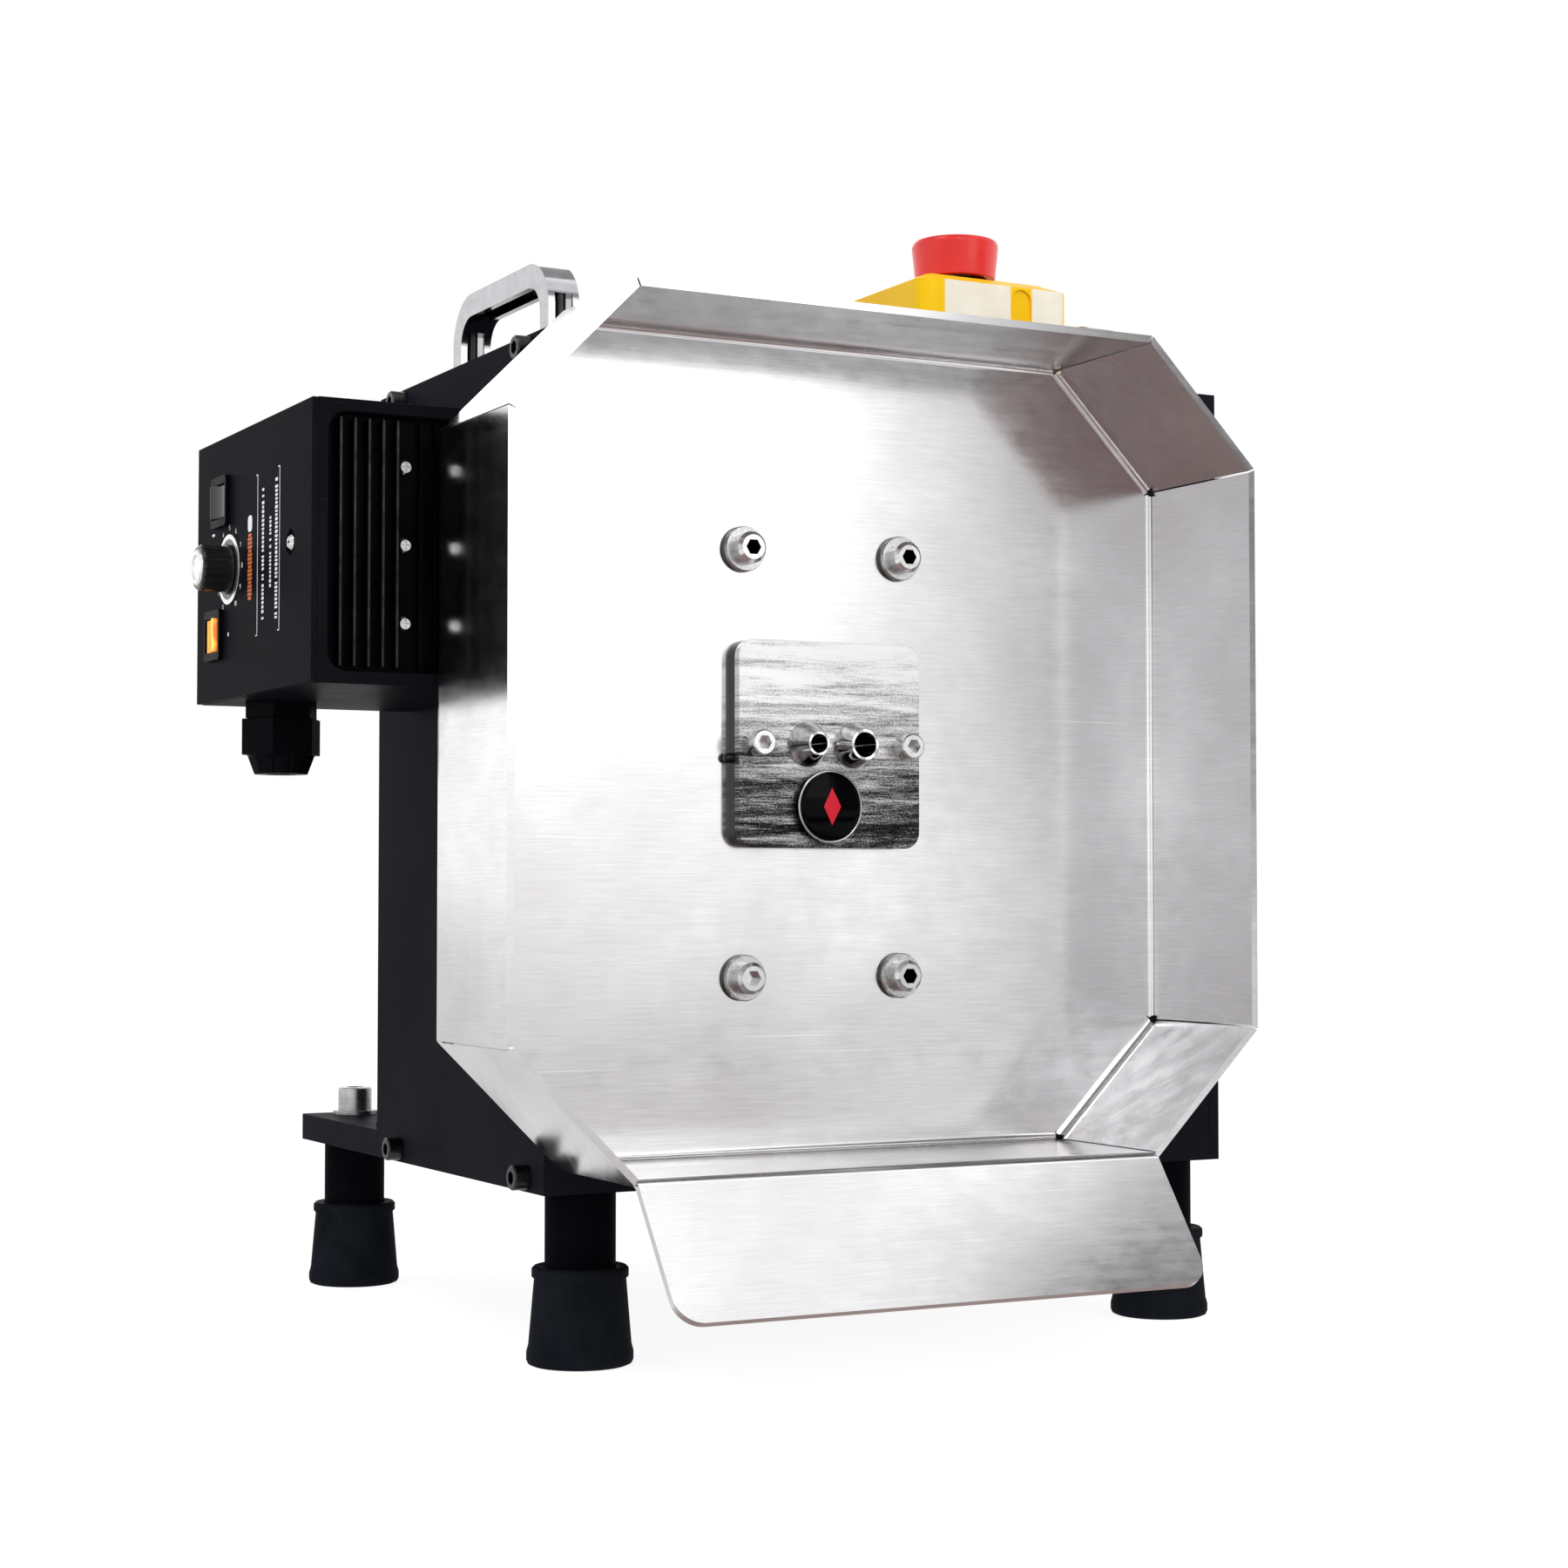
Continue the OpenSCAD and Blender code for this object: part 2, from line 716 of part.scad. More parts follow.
// A bridge handle: two arched side walls and a crown between them, solid where it takes the screws
module handle(x) {
    crown_t = 3;
    translate([x, handle_y0, cab_z1]) rotate([90, 0, 90]) difference() {
        union() {
            for (z = [-handle_w / 2, handle_w / 2 - handle_wall]) translate([0, 0, z])
                linear_extrude(handle_wall) difference() {
                    handle_arch(0, handle_bend);
                    translate([0, -1]) handle_arch(handle_bar, handle_bend - handle_bar);
                }
            translate([0, 0, -handle_w / 2 + eps]) linear_extrude(handle_w - 2 * eps) intersection() {
                difference() {
                    handle_arch(0, handle_bend);
                    handle_arch(crown_t, handle_bend - crown_t);
                }
                translate([-1, handle_boss_z]) square([handle_l + 2, handle_h]);
            }
            translate([0, 0, -handle_w / 2 + eps]) linear_extrude(handle_w - 2 * eps) intersection() {
                difference() {
                    handle_arch(0, handle_bend);
                    handle_arch(handle_bar, handle_bend - handle_bar);
                }
                translate([-1, handle_boss_z]) square([handle_l + 2, handle_boss_h]);
            }
        }
        for (screw_x = [handle_bar / 2, handle_l - handle_bar / 2])
            translate([screw_x, -1, 0]) rotate([-90, 0, 0])
                cylinder(d = handle_screw_d + 2 * clear, h = handle_screw_top + 1.5);
    }
}

module left_handle() {
    color("#77777c") placed() handle(handle_x[0]);
}

module right_handle() {
    color("#77777c") placed() handle(handle_x[1]);
}

// Places a child at each screw through the motor bracket's foot, pointing up
module bracket_foot_spots() {
    for (x = [box_x0 + 14, box_x0 + 38], y = [box_y - 32, box_y + 32])
        translate([x, y, base_top + bracket_t]) children();
}

// Places a child at each screw from the bracket into the gearbox, pointing left
module gearbox_screw_spots() {
    for (dy = [-36, 36], dz = [-36, 36])
        facing_left(box_x0 - bracket_t, box_y + dy, lower_z + dz) children();
}

module inner_cap_screws() {
    color("#55555a") placed() {
        for (x = handle_x, y = handle_screw_y)
            translate([x, y, top_under]) mirror([0, 0, 1]) cap_screw(8.5, 5, handle_screw_d, handle_screw_l);
        bracket_foot_spots() cap_screw(10, 6, 6, 14);
        gearbox_screw_spots() cap_screw(8.5, 5, 5, 16);
    }
}

// ---- Stop button ----

module stop_outline(inset) {
    rounded_rect(stop_w - 2 * inset, stop_d - 2 * inset, stop_corner - min(inset, stop_corner - 2));
}

module stop_box_base() {
    color("#2c2d30") placed() translate([stop_x, stop_y, cab_z1]) difference() {
        linear_extrude(stop_base_h) stop_outline(0.4);
        translate([0, 0, lid_t]) linear_extrude(stop_base_h) stop_outline(lid_t + 0.4);
        translate([0, 0, -1]) cylinder(d = 16, h = stop_base_h);
    }
}

// Places a child at each lid screw, pointing up
module stop_screw_spots() {
    for (sx = [-1, 1], sy = [-1, 1])
        translate([stop_x + sx * (stop_w / 2 - 7.5), stop_y + sy * (stop_d / 2 - 7.5),
                   cab_z1 + stop_wall_h - 1.5]) children();
}

module stop_box_lid() {
    post_d = 10;
    recess_d = pan_head_d + 1.4;
    groove_h = stop_wall_h - stop_base_h - stop_groove_w / 2 - 1;
    color("#f6c518") placed() difference() {
        union() {
            translate([stop_x, stop_y, cab_z1 + stop_base_h]) difference() {
                union() {
                    linear_extrude(stop_wall_h - stop_base_h) stop_outline(0);
                    hull() {
                        translate([0, 0, stop_wall_h - stop_base_h - eps])
                            linear_extrude(eps) stop_outline(0);
                        translate([0, 0, stop_wall_h - stop_base_h + stop_bevel_h - eps])
                            linear_extrude(eps) stop_outline(stop_bevel_in);
                    }
                }
                translate([0, 0, -1]) linear_extrude(stop_wall_h - stop_base_h + 1 - 0.5) stop_outline(lid_t);
                translate([0, 0, -1]) cylinder(d = collar_hole_d + 2 * clear, h = 60);
            }
            stop_screw_spots() translate([0, 0, -28.4]) cylinder(d = post_d, h = 28.4 + 1.5);
        }
        facing_front(stop_x + stop_groove_dx, stop_y - stop_d / 2 + stop_groove_t, cab_z1 + stop_base_h)
            linear_extrude(stop_groove_t + 1) {
                translate([-stop_groove_w / 2, -1]) square([stop_groove_w, groove_h + 1]);
                translate([0, groove_h]) circle(d = stop_groove_w);
            }
        stop_screw_spots() cylinder(d = recess_d, h = 20);
        stop_screw_spots() translate([0, 0, -14]) cylinder(d = pan_shank_d + 2 * clear, h = 20);
    }
}

module stop_collar() {
    color("#151517") placed() translate([stop_x, stop_y, 0]) difference() {
        union() {
            translate([0, 0, lid_top]) cylinder(d = collar_d, h = 4.4);
            translate([0, 0, lid_top - collar_below]) cylinder(d = collar_hole_d, h = collar_below + eps);
        }
        translate([0, 0, lid_top - collar_below - 1]) cylinder(d = plunger_d + 2 * fit, h = 30);
    }
}

// The plunger slides in the collar, carries the mushroom and presses the contact block
module stop_plunger() {
    tip_d = 7;
    color("#c7c7c9") placed() translate([stop_x, stop_y, 0]) {
        translate([0, 0, plunger_stop_z])
            cylinder(d = plunger_d, h = mushroom_z + mushroom_hollow_h + socket_h - fit - plunger_stop_z);
        translate([0, 0, plunger_stop_z]) cylinder(d = 19, h = plunger_stop_h);
        translate([0, 0, plunger_tip_z]) cylinder(d = tip_d, h = plunger_stop_z - plunger_tip_z + eps);
    }
}

module stop_mushroom() {
    skirt = 4;
    lower_d = mushroom_d - 3;
    socket_z = mushroom_hollow_h + socket_h;
    crown = 1.5;
    color("#d2322d") placed() translate([stop_x, stop_y, mushroom_z]) rotate_extrude()
        polygon([[plunger_d / 2 + fit, mushroom_hollow_h], [lower_d / 2 - skirt, mushroom_hollow_h],
                 [lower_d / 2 - skirt, 0],
                 [lower_d / 2 - 0.5, 0], [lower_d / 2, 0.5], [mushroom_d / 2 - 0.6, mushroom_h * 0.5],
                 [mushroom_d / 2, mushroom_h - crown - 1.5], [mushroom_d / 2 - 0.4, mushroom_h - crown],
                 [mushroom_d / 2 - 2, mushroom_h - 0.4], [mushroom_d / 2 - 5, mushroom_h], [0, mushroom_h],
                 [0, socket_z], [plunger_d / 2 + fit, socket_z]]);
}

// A round wire wound about Z: each ring of points is one slice of the wire
module coil_spring(coil_r, wire_d, height, turns) {
    sides = 8;
    rings = 20 * turns;
    points = [for (i = [0 : rings], j = [0 : sides - 1])
        let (turn = 360 * turns * i / rings, around = 360 * j / sides,
             r = coil_r + wire_d / 2 * cos(around), rise = (height - wire_d) * i / rings)
        [r * cos(turn), r * sin(turn), rise + wire_d / 2 * (1 + sin(around))]];
    walls = [for (i = [0 : rings - 1], j = [0 : sides - 1]) let (k = (j + 1) % sides)
        [i * sides + j, i * sides + k, (i + 1) * sides + k, (i + 1) * sides + j]];
    ends = [[for (j = [sides - 1 : -1 : 0]) j], [for (j = [0 : sides - 1]) rings * sides + j]];
    polyhedron(points, concat(walls, ends));
}

module stop_spring() {
    color("#8e8e92") placed() translate([stop_x, stop_y, contact_top])
        coil_spring(6, 1.4, plunger_stop_z - contact_top - fit, 4);
}

module stop_contact_block() {
    color("#34353a") placed() translate([stop_x, stop_y, cab_z1]) difference() {
        translate([-15, -20, lid_t]) cube([30, 40, contact_top - cab_z1 - lid_t]);
        for (sy = [-1, 1]) translate([0, sy * 14, 8]) cylinder(d = 5, h = 20);
    }
}

// ---- Speed controller ----

module controller_case() {
    color("#141416") placed() difference() {
        box([ctrl_x0 + face_t, ctrl_y0, ctrl_z0], [cab_x0, ctrl_y0 + ctrl_d, ctrl_z0 + ctrl_h]);
        box([ctrl_x0 - 1, ctrl_y0 + sink_recess + 2, ctrl_z0 + ctrl_t],
            [cab_x0 - ctrl_t, ctrl_y0 + ctrl_d - ctrl_t, ctrl_z0 + ctrl_h - ctrl_t]);
        facing_back(sink_x, ctrl_y0 - 1, ctrl_mid_z) linear_extrude(sink_recess + 10)
            rounded_rect(ctrl_w - 2 * sink_margin, ctrl_h - 2 * sink_margin_z, sink_corner);
        translate([gland_x, gland_y, ctrl_z0 - 1]) cylinder(d = 22 + 2 * clear, h = 20);
        facing_left(cab_x0 + 1, lead_hole_y, ctrl_mid_z) cylinder(d = lead_hole_d, h = ctrl_t + 2);
    }
}

// The finned plate that closes the controller's front and cools its power parts
module heat_sink() {
    w = ctrl_w - 2 * sink_margin - 2 * clear;
    h = ctrl_h - 2 * sink_margin_z - 2 * clear;
    back_t = 3;
    fin_t = 1;
    color("#101012") placed() facing_front(sink_x, ctrl_y0 + sink_recess + 2, ctrl_mid_z) difference() {
        union() {
            linear_extrude(back_t) rounded_rect(w, h, sink_corner);
            for (side = [-1, 1], i = [0 : fin_count - 1])
                translate([side * (w / 2 - 5.2 - i * fin_pitch) - fin_t / 2, -h / 2 + 2, 0])
                    cube([fin_t, h - 4, sink_recess + 1]);
            for (side = [-1, 1])
                translate([side * 3.2 - fin_t / 2, -h / 2 + 2, 0]) cube([fin_t, h - 4, sink_recess - 1]);
        }
        for (side = [-1, 1], dz = sink_screw_dz)
            translate([side * sink_screw_dx, dz, -1]) cylinder(d = pan_shank_d + 2 * clear, h = 20);
    }
}

module control_face_plate() {
    color("#1a1a1d") placed() facing_left(ctrl_x0 + face_t, 0, 0) difference() {
        translate([ctrl_z0 + 0.2, ctrl_y0 + 0.2, 0]) cube([ctrl_h - 0.4, ctrl_d - 0.4, face_t]);
        translate([dial_z, dial_y, -1]) cylinder(d = 8 + 2 * clear, h = 10);
        for (s = [run_switch, power_switch])
            translate([s[1], s[0], -1]) linear_extrude(10) square(switch_body + 2 * clear, center = true);
        translate([face_screw[1], face_screw[0], face_t - 1.5]) cylinder(d = 11, h = 10, $fn = 6);
        translate([face_screw[1], face_screw[0], -1]) cylinder(d = pan_shank_d + 2 * clear, h = 10);
    }
}

module panel_screws() {
    color("#c4c4c8") placed() {
        rear_screw_spots() pan_screw(9);
        rear_foot_spots() pan_screw(9);
        stop_screw_spots() pan_screw(9);
        for (side = [-1, 1], dz = sink_screw_dz)
            facing_front(sink_x + side * sink_screw_dx, ctrl_y0 + sink_recess - 1, ctrl_mid_z + dz)
                pan_screw(5);
        facing_left(ctrl_x0 + 1.5, face_screw[0], face_screw[1]) pan_screw(8);
    }
}

module dial_plate() {
    color("#e9e9ea") placed() facing_left(ctrl_x0, dial_y, dial_z) difference() {
        cylinder(d = dial_d, h = 0.6);
        translate([0, 0, -1]) cylinder(d = 8.4, h = 3);
    }
}

module speed_knob() {
    ribs = 18;
    color("#0e0e10") placed() facing_left(ctrl_x0 - knob_gap, dial_y, dial_z) difference() {
        union() {
            cylinder(d = knob_d + 1.5, h = 1.5);
            cylinder(d = knob_d, h = knob_l - 1);
            translate([0, 0, knob_l - 1 - eps]) cylinder(d1 = knob_d, d2 = knob_d - 1.6, h = 1 + eps);
        }
        for (rib = [0 : ribs - 1]) rotate(rib * 360 / ribs)
            translate([knob_d / 2 + 0.5, 0, 2]) cylinder(r = 0.9, h = knob_l);
        translate([0, 0, -1]) cylinder(d = 6, h = knob_l - 1.5);
        translate([0, 0, knob_l - 0.8]) cylinder(d = knob_d - 4, h = 2);
    }
}

module knob_cap() {
    cap = knob_d - 4.1;
    color("#c9cace") placed() facing_left(ctrl_x0 - knob_gap - knob_l + 0.8, dial_y, dial_z) {
        cylinder(d = cap, h = 1);
        translate([0, 0, 1 - eps]) cylinder(d1 = cap, d2 = cap - 2.4, h = 0.8);
    }
}

module knob_shaft() {
    color("#9d9da2") placed() facing_left(ctrl_x0 + 13.9, dial_y, dial_z)
        cylinder(d = 6, h = 13.9 + knob_gap + knob_l - 2.6);
}

module speed_potentiometer() {
    color("#3c6b4a") placed() facing_left(ctrl_x0 + 15, dial_y, dial_z) difference() {
        union() {
            cylinder(d = 24, h = 10);
            cylinder(d = 7.8, h = 15);
            translate([-4, -16, 3]) cube([8, 8, 1.5]);
        }
        translate([0, 0, 1]) cylinder(d = 6 + 2 * fit, h = 20);
    }
}

// A rocker's bezel and body, the control face at Z = 0, local X across and Y along it
module switch_housing() {
    blade_l = 8;
    difference() {
        union() {
            linear_extrude(bezel_t) rounded_rect(bezel_w, bezel_w, 2);
            translate([-switch_body / 2, -switch_body / 2, -switch_depth])
                cube([switch_body, switch_body, switch_depth + eps]);
        }
        translate([-rocker_w / 2 - 0.3, -rocker_l / 2 - rocker_play, -switch_depth + 6])
            cube([rocker_w + 0.6, rocker_l + 2 * rocker_play, switch_depth]);
        translate([0, 0, -rocker_sink]) rotate([0, 90, 0])
            cylinder(d = pivot_d + 2 * fit, h = rocker_w + 4, center = true);
    }
    for (sy = [-1, 0, 1])
        translate([-1, sy * 6 - 0.4, -switch_depth - blade_l]) cube([2, 0.8, blade_l + eps]);
}

module switch_housings() {
    color("#0f0f11") placed() for (s = [run_switch, power_switch])
        facing_left(ctrl_x0, s[0], s[1]) switch_housing();
}

// A rocker on its pivot pins, tilted to one side
module rocker(s, tilt) {
    half = rocker_l / 2;
    edge = 0.6;
    facing_left(ctrl_x0 + rocker_sink, s[0], s[1]) rotate([tilt, 0, 0]) {
        rotate([90, 0, 90]) linear_extrude(rocker_w, center = true)
            polygon([[-half, 0], [-half, rocker_h - edge], [-half + edge, rocker_h], [0, rocker_h - 1.4],
                     [half - edge, rocker_h], [half, rocker_h - edge], [half, 0], [3, -5], [-3, -5]]);
        rotate([0, 90, 0]) cylinder(d = pivot_d, h = rocker_w + 3, center = true);
    }
}

module run_rocker() {
    color("#17171a") placed() rocker(run_switch, rocker_tilt);
}

module power_rocker() {
    color("#ff9a1f") placed() rocker(power_switch, -rocker_tilt);
}

module circuit_board() {
    x0 = ctrl_x0 + 34;
    board_t = 1.6;
    margin = 9;
    capacitor_d = 18;
    capacitor_h = 26;
    post_d = 5;
    color("#1f5a35") placed() {
        box([x0, ctrl_y0 + 16, ctrl_z0 + margin], [x0 + board_t, ctrl_y0 + 101, ctrl_z0 + ctrl_h - margin]);
        for (i = [0 : 2])
            facing_right(x0 + board_t - eps, ctrl_y0 + 38 + i * 25, ctrl_mid_z)
                cylinder(d = capacitor_d, h = capacitor_h);
        box([x0 + board_t - eps, ctrl_y0 + 24, ctrl_z0 + 16], [x0 + 14, ctrl_y0 + 80, ctrl_z0 + 30]);
        for (dy = [21, 96], dz = [-40, 40])
            facing_right(ctrl_x0 + face_t, ctrl_y0 + dy, ctrl_mid_z + dz)
                cylinder(d = post_d, h = x0 - ctrl_x0 - face_t + eps);
    }
}

module gland_body() {
    color("#0f0f11") placed() translate([gland_x, gland_y, ctrl_z0]) difference() {
        union() {
            translate([0, 0, -7]) cylinder(d = 31, h = 7, $fn = 6);
            translate([0, 0, -eps]) cylinder(d = 22, h = 12);
            translate([0, 0, -19]) cylinder(d = 24, h = 12 + eps);
        }
        translate([0, 0, -30]) cylinder(d = gland_bore, h = 60);
    }
}

module gland_nut() {
    grooves = 12;
    color("#0f0f11") placed() translate([gland_x, gland_y, ctrl_z0 - 7.3]) rotate([180, 0, 0]) difference() {
        union() {
            cylinder(d = 34, h = 15, $fn = 6);
            translate([0, 0, 15 - eps]) cylinder(d1 = 28, d2 = 22, h = 8);
        }
        translate([0, 0, -1]) cylinder(d = 24 + 2 * clear, h = 12.8);
        translate([0, 0, -1]) cylinder(d = gland_bore, h = 40);
        for (i = [0 : grooves - 1]) rotate(i * 360 / grooves)
            translate([14.4, 0, 16.5]) rotate([0, -20, 0]) cylinder(r = 1.4, h = 9);
    }
}

// ---- Roller unit ----

// One bearing plate between two X values, outer side where the bearings sit
module bearing_plate(x_inner, x_outer) {
    x0 = min(x_inner, x_outer);
    difference() {
        box([x0, front_in, frame_z0], [x0 + frame_t, front_in + frame_d, frame_z1]);
        for (z = [lower_z, upper_z]) {
            facing_right(x0 - 1, roller_y, z) cylinder(d = shaft_d + 3, h = frame_t + 2);
            facing_right(x_outer > x_inner ? x_outer - bearing_t : x_outer - 1, roller_y, z)
                cylinder(d = bearing_d, h = bearing_t + 1);
        }
        tray_bolt_spots() translate([0, 0, -33]) cylinder(d = 8 + 2 * clear, h = 33);
        die_screw_spots() translate([0, 0, -29]) cylinder(d = side_shank_d + 2 * clear, h = 29);
    }
}

module left_bearing_plate() {
    color("#8f9296") placed() bearing_plate(-frame_in, -frame_out);
}

module right_bearing_plate() {
    color("#8f9296") placed() bearing_plate(frame_in, frame_out);
}

module roller_bearings() {
    groove = 0.6;
    color("#b9bcc2") placed() for (z = [lower_z, upper_z], x = [-frame_out, frame_out - bearing_t])
        facing_right(x, roller_y, z) rotate_extrude()
            polygon([[shaft_d / 2 + fit, 0], [shaft_d / 2 + 2, 0], [shaft_d / 2 + 2, groove],
                     [bearing_d / 2 - 2, groove], [bearing_d / 2 - 2, 0], [bearing_d / 2, 0],
                     [bearing_d / 2, bearing_t], [bearing_d / 2 - 2, bearing_t],
                     [bearing_d / 2 - 2, bearing_t - groove], [shaft_d / 2 + 2, bearing_t - groove],
                     [shaft_d / 2 + 2, bearing_t], [shaft_d / 2 + fit, bearing_t]]);
}

// A rubber roller with lengthwise grip grooves
module roller(z) {
    grooves = 20;
    facing_right(-roller_l / 2, roller_y, z) difference() {
        cylinder(d = roller_d, h = roller_l);
        translate([0, 0, -1]) cylinder(d = shaft_d, h = roller_l + 2);
        for (i = [0 : grooves - 1]) rotate(i * 360 / grooves)
            translate([roller_d / 2 - 2, -1.25, -1]) cube([4, 2.5, roller_l + 2]);
    }
}

module lower_roller() {
    color("#3a3b3f") placed() roller(lower_z);
}

module upper_roller() {
    color("#3a3b3f") placed() roller(upper_z);
}

module shaft(x0, x1, z) {
    facing_right(x0, roller_y, z) cylinder(d = shaft_d, h = x1 - x0);
}

module lower_shaft() {
    color("#a9adb3") placed() shaft(shaft_x0, lower_shaft_x1, lower_z);
}

module upper_shaft() {
    color("#a9adb3") placed() shaft(shaft_x0, upper_shaft_x1, upper_z);
}

module output_shaft() {
    color("#a9adb3") placed() shaft(output_x0, output_x1, lower_z);
}

// Involute gear outline. The tooth is thinned a little on each flank for backlash.
pressure = 20;
backlash = 0.3;
base_r = gear_pitch_r * cos(pressure);
outer_r = gear_pitch_r + gear_module;
root_r = gear_pitch_r - 1.25 * gear_module;
flank_r = [for (i = [0 : 5]) base_r + (outer_r - base_r) * i / 5];

// Degrees between an involute's start and its point at the pressure angle a
function involute(a) = tan(a) * 180 / PI - a;
// Half of a tooth's angle at radius r, the same below the base circle as on it
function half_tooth(r) = 90 / gear_teeth - backlash + involute(pressure)
    - involute(acos(min(1, base_r / max(r, base_r))));
function at_angle(r, a) = [r * cos(a), r * sin(a)];
function tooth(mid) = [
    at_angle(root_r, mid - half_tooth(root_r)),
    for (r = flank_r) at_angle(r, mid - half_tooth(r)),
    for (i = [5 : -1 : 0]) at_angle(flank_r[i], mid + half_tooth(flank_r[i])),
    at_angle(root_r, mid + half_tooth(root_r)),
];

module gear(z, phase) {
    facing_right(gear_x, roller_y, z) difference() {
        union() {
            linear_extrude(gear_w)
                polygon([for (i = [0 : gear_teeth - 1]) each tooth(phase + i * 360 / gear_teeth)]);
            translate([0, 0, gear_w - eps]) cylinder(d = shaft_d + 10, h = 4);
        }
        translate([0, 0, -1]) cylinder(d = shaft_d, h = gear_w + 10);
        for (i = [0 : 4]) rotate(i * 72) translate([root_r * 0.66, 0, -1]) cylinder(d = 6, h = gear_w + 2);
    }
}

module lower_gear() {
    color("#c0a060") placed() gear(lower_z, 0);
}

module upper_gear() {
    color("#c0a060") placed() gear(upper_z, 180 / gear_teeth);
}

module shaft_coupling() {
    color("#5f6368") placed() facing_right(coupling_x0, roller_y, lower_z) difference() {
        cylinder(d = coupling_d, h = coupling_l);
        translate([0, 0, -1]) cylinder(d = shaft_d, h = coupling_l + 2);
        translate([0, 0, coupling_l / 2 - 0.5]) difference() {
            cylinder(d = coupling_d + 2, h = 1);
            translate([0, 0, -1]) cylinder(d = coupling_d - 2, h = 3);
        }
        for (z = [5, coupling_l - 5]) translate([0, 0, z]) rotate([0, 90, 0]) cylinder(d = 4, h = coupling_d);
    }
}

// ---- Gearmotor ----

module gearbox() {
    color("#7b7e83") placed() difference() {
        union() {
            facing_right(box_x0, box_y, lower_z) linear_extrude(box_l) rounded_rect(box_w, box_w, 8);
            facing_right(box_x0 - bracket_t + 1, roller_y, lower_z) cylinder(d = 34, h = bracket_t);
        }
        facing_right(box_x0 - 20, roller_y, lower_z) cylinder(d = shaft_d + 2 * fit, h = 20 + 34);
        gearbox_screw_spots() translate([0, 0, -17]) cylinder(d = 5 + 2 * clear, h = 20);
    }
}

module motor() {
    ribs = 24;
    cap_l = 14;
    x0 = box_x0 + box_l;
    color("#2d3136") placed() facing_right(x0, box_y, lower_z) difference() {
        union() {
            cylinder(d = motor_d, h = motor_l - cap_l);
            translate([0, 0, motor_l - cap_l - eps]) cylinder(d = motor_d + 4, h = cap_l - 3);
            translate([0, 0, motor_l - 3 - 2 * eps]) cylinder(d1 = motor_d + 4, d2 = motor_d - 6, h = 3);
        }
        for (rib = [0 : ribs - 1]) rotate(rib * 360 / ribs)
            translate([motor_d / 2 - 1.5, -1.5, 6]) cube([4, 3, motor_l - cap_l - 12]);
    }
}

module motor_bracket() {
    color("#3b3d41") placed() difference() {
        union() {
            box([box_x0 - bracket_t, box_y - box_w / 2, base_top],
                [box_x0, box_y + box_w / 2, lower_z + box_w / 2]);
            box([box_x0 - 1, box_y - box_w / 2, base_top],
                [box_x0 + bracket_foot, box_y + box_w / 2, base_top + bracket_t]);
        }
        facing_right(box_x0 - 20, roller_y, lower_z) cylinder(d = 34.6, h = 40);
        gearbox_screw_spots() translate([0, 0, -17]) cylinder(d = 5 + 2 * clear, h = 30);
        bracket_foot_spots() translate([0, 0, -20]) cylinder(d = 6 + 2 * clear, h = 30);
    }
}

// ---- Chute ----

module outlet_chute() {
    run = (chute_y1 - chute_y0) / cos(chute_slope);
    color("#9fa2a6") placed() translate([0, chute_y0, chute_z0]) rotate([-chute_slope, 0, 0]) {
        translate([-chute_w / 2 - chute_t, 0, -chute_t]) cube([chute_w + 2 * chute_t, run, chute_t]);
        for (x = [-chute_w / 2 - chute_t, chute_w / 2])
            translate([x, 0, -chute_t]) cube([chute_t, run, chute_h]);
    }
}

base_plate();
top_plate();
front_plate();
left_side_plate();
right_side_plate();
rear_panel();
side_plate_screws();
leg_posts();
rubber_feet();
leg_bolts();
collection_tray();
tray_bolts();
tray_washers();
die_plate();
die_backing_plate();
small_nozzle();
large_nozzle();
die_screws();
die_cap();
die_side_pin();
left_handle();
right_handle();
inner_cap_screws();
stop_box_base();
stop_box_lid();
stop_collar();
stop_plunger();
stop_mushroom();
stop_spring();
stop_contact_block();
controller_case();
control_face_plate();
heat_sink();
panel_screws();
dial_plate();
speed_knob();
knob_cap();
knob_shaft();
speed_potentiometer();
switch_housings();
run_rocker();
power_rocker();
circuit_board();
gland_body();
gland_nut();
left_bearing_plate();
right_bearing_plate();
roller_bearings();
lower_roller();
upper_roller();
lower_shaft();
upper_shaft();
lower_gear();
upper_gear();
shaft_coupling();
output_shaft();
gearbox();
motor();
motor_bracket();
outlet_chute();
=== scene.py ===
"""Looks of a tabletop stem stripping machine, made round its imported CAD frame. Metres, +Z up."""
import math
import random

import bmesh
import bpy
from mathutils import Matrix, Vector


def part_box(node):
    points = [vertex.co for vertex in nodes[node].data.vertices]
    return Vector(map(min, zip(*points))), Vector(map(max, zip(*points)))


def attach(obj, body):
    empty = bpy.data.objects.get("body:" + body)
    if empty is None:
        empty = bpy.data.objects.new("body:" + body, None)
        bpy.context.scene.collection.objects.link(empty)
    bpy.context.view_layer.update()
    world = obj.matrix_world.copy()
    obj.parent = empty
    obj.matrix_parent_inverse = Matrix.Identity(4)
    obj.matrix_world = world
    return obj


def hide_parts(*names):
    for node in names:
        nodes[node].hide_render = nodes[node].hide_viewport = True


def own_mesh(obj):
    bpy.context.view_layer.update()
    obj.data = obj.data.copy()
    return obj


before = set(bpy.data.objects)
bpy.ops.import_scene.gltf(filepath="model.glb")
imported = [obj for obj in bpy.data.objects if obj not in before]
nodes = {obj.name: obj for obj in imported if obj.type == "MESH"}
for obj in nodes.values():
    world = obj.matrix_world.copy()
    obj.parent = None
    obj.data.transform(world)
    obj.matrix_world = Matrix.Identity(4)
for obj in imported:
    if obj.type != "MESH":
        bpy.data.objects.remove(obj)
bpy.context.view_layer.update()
MM = 0.001


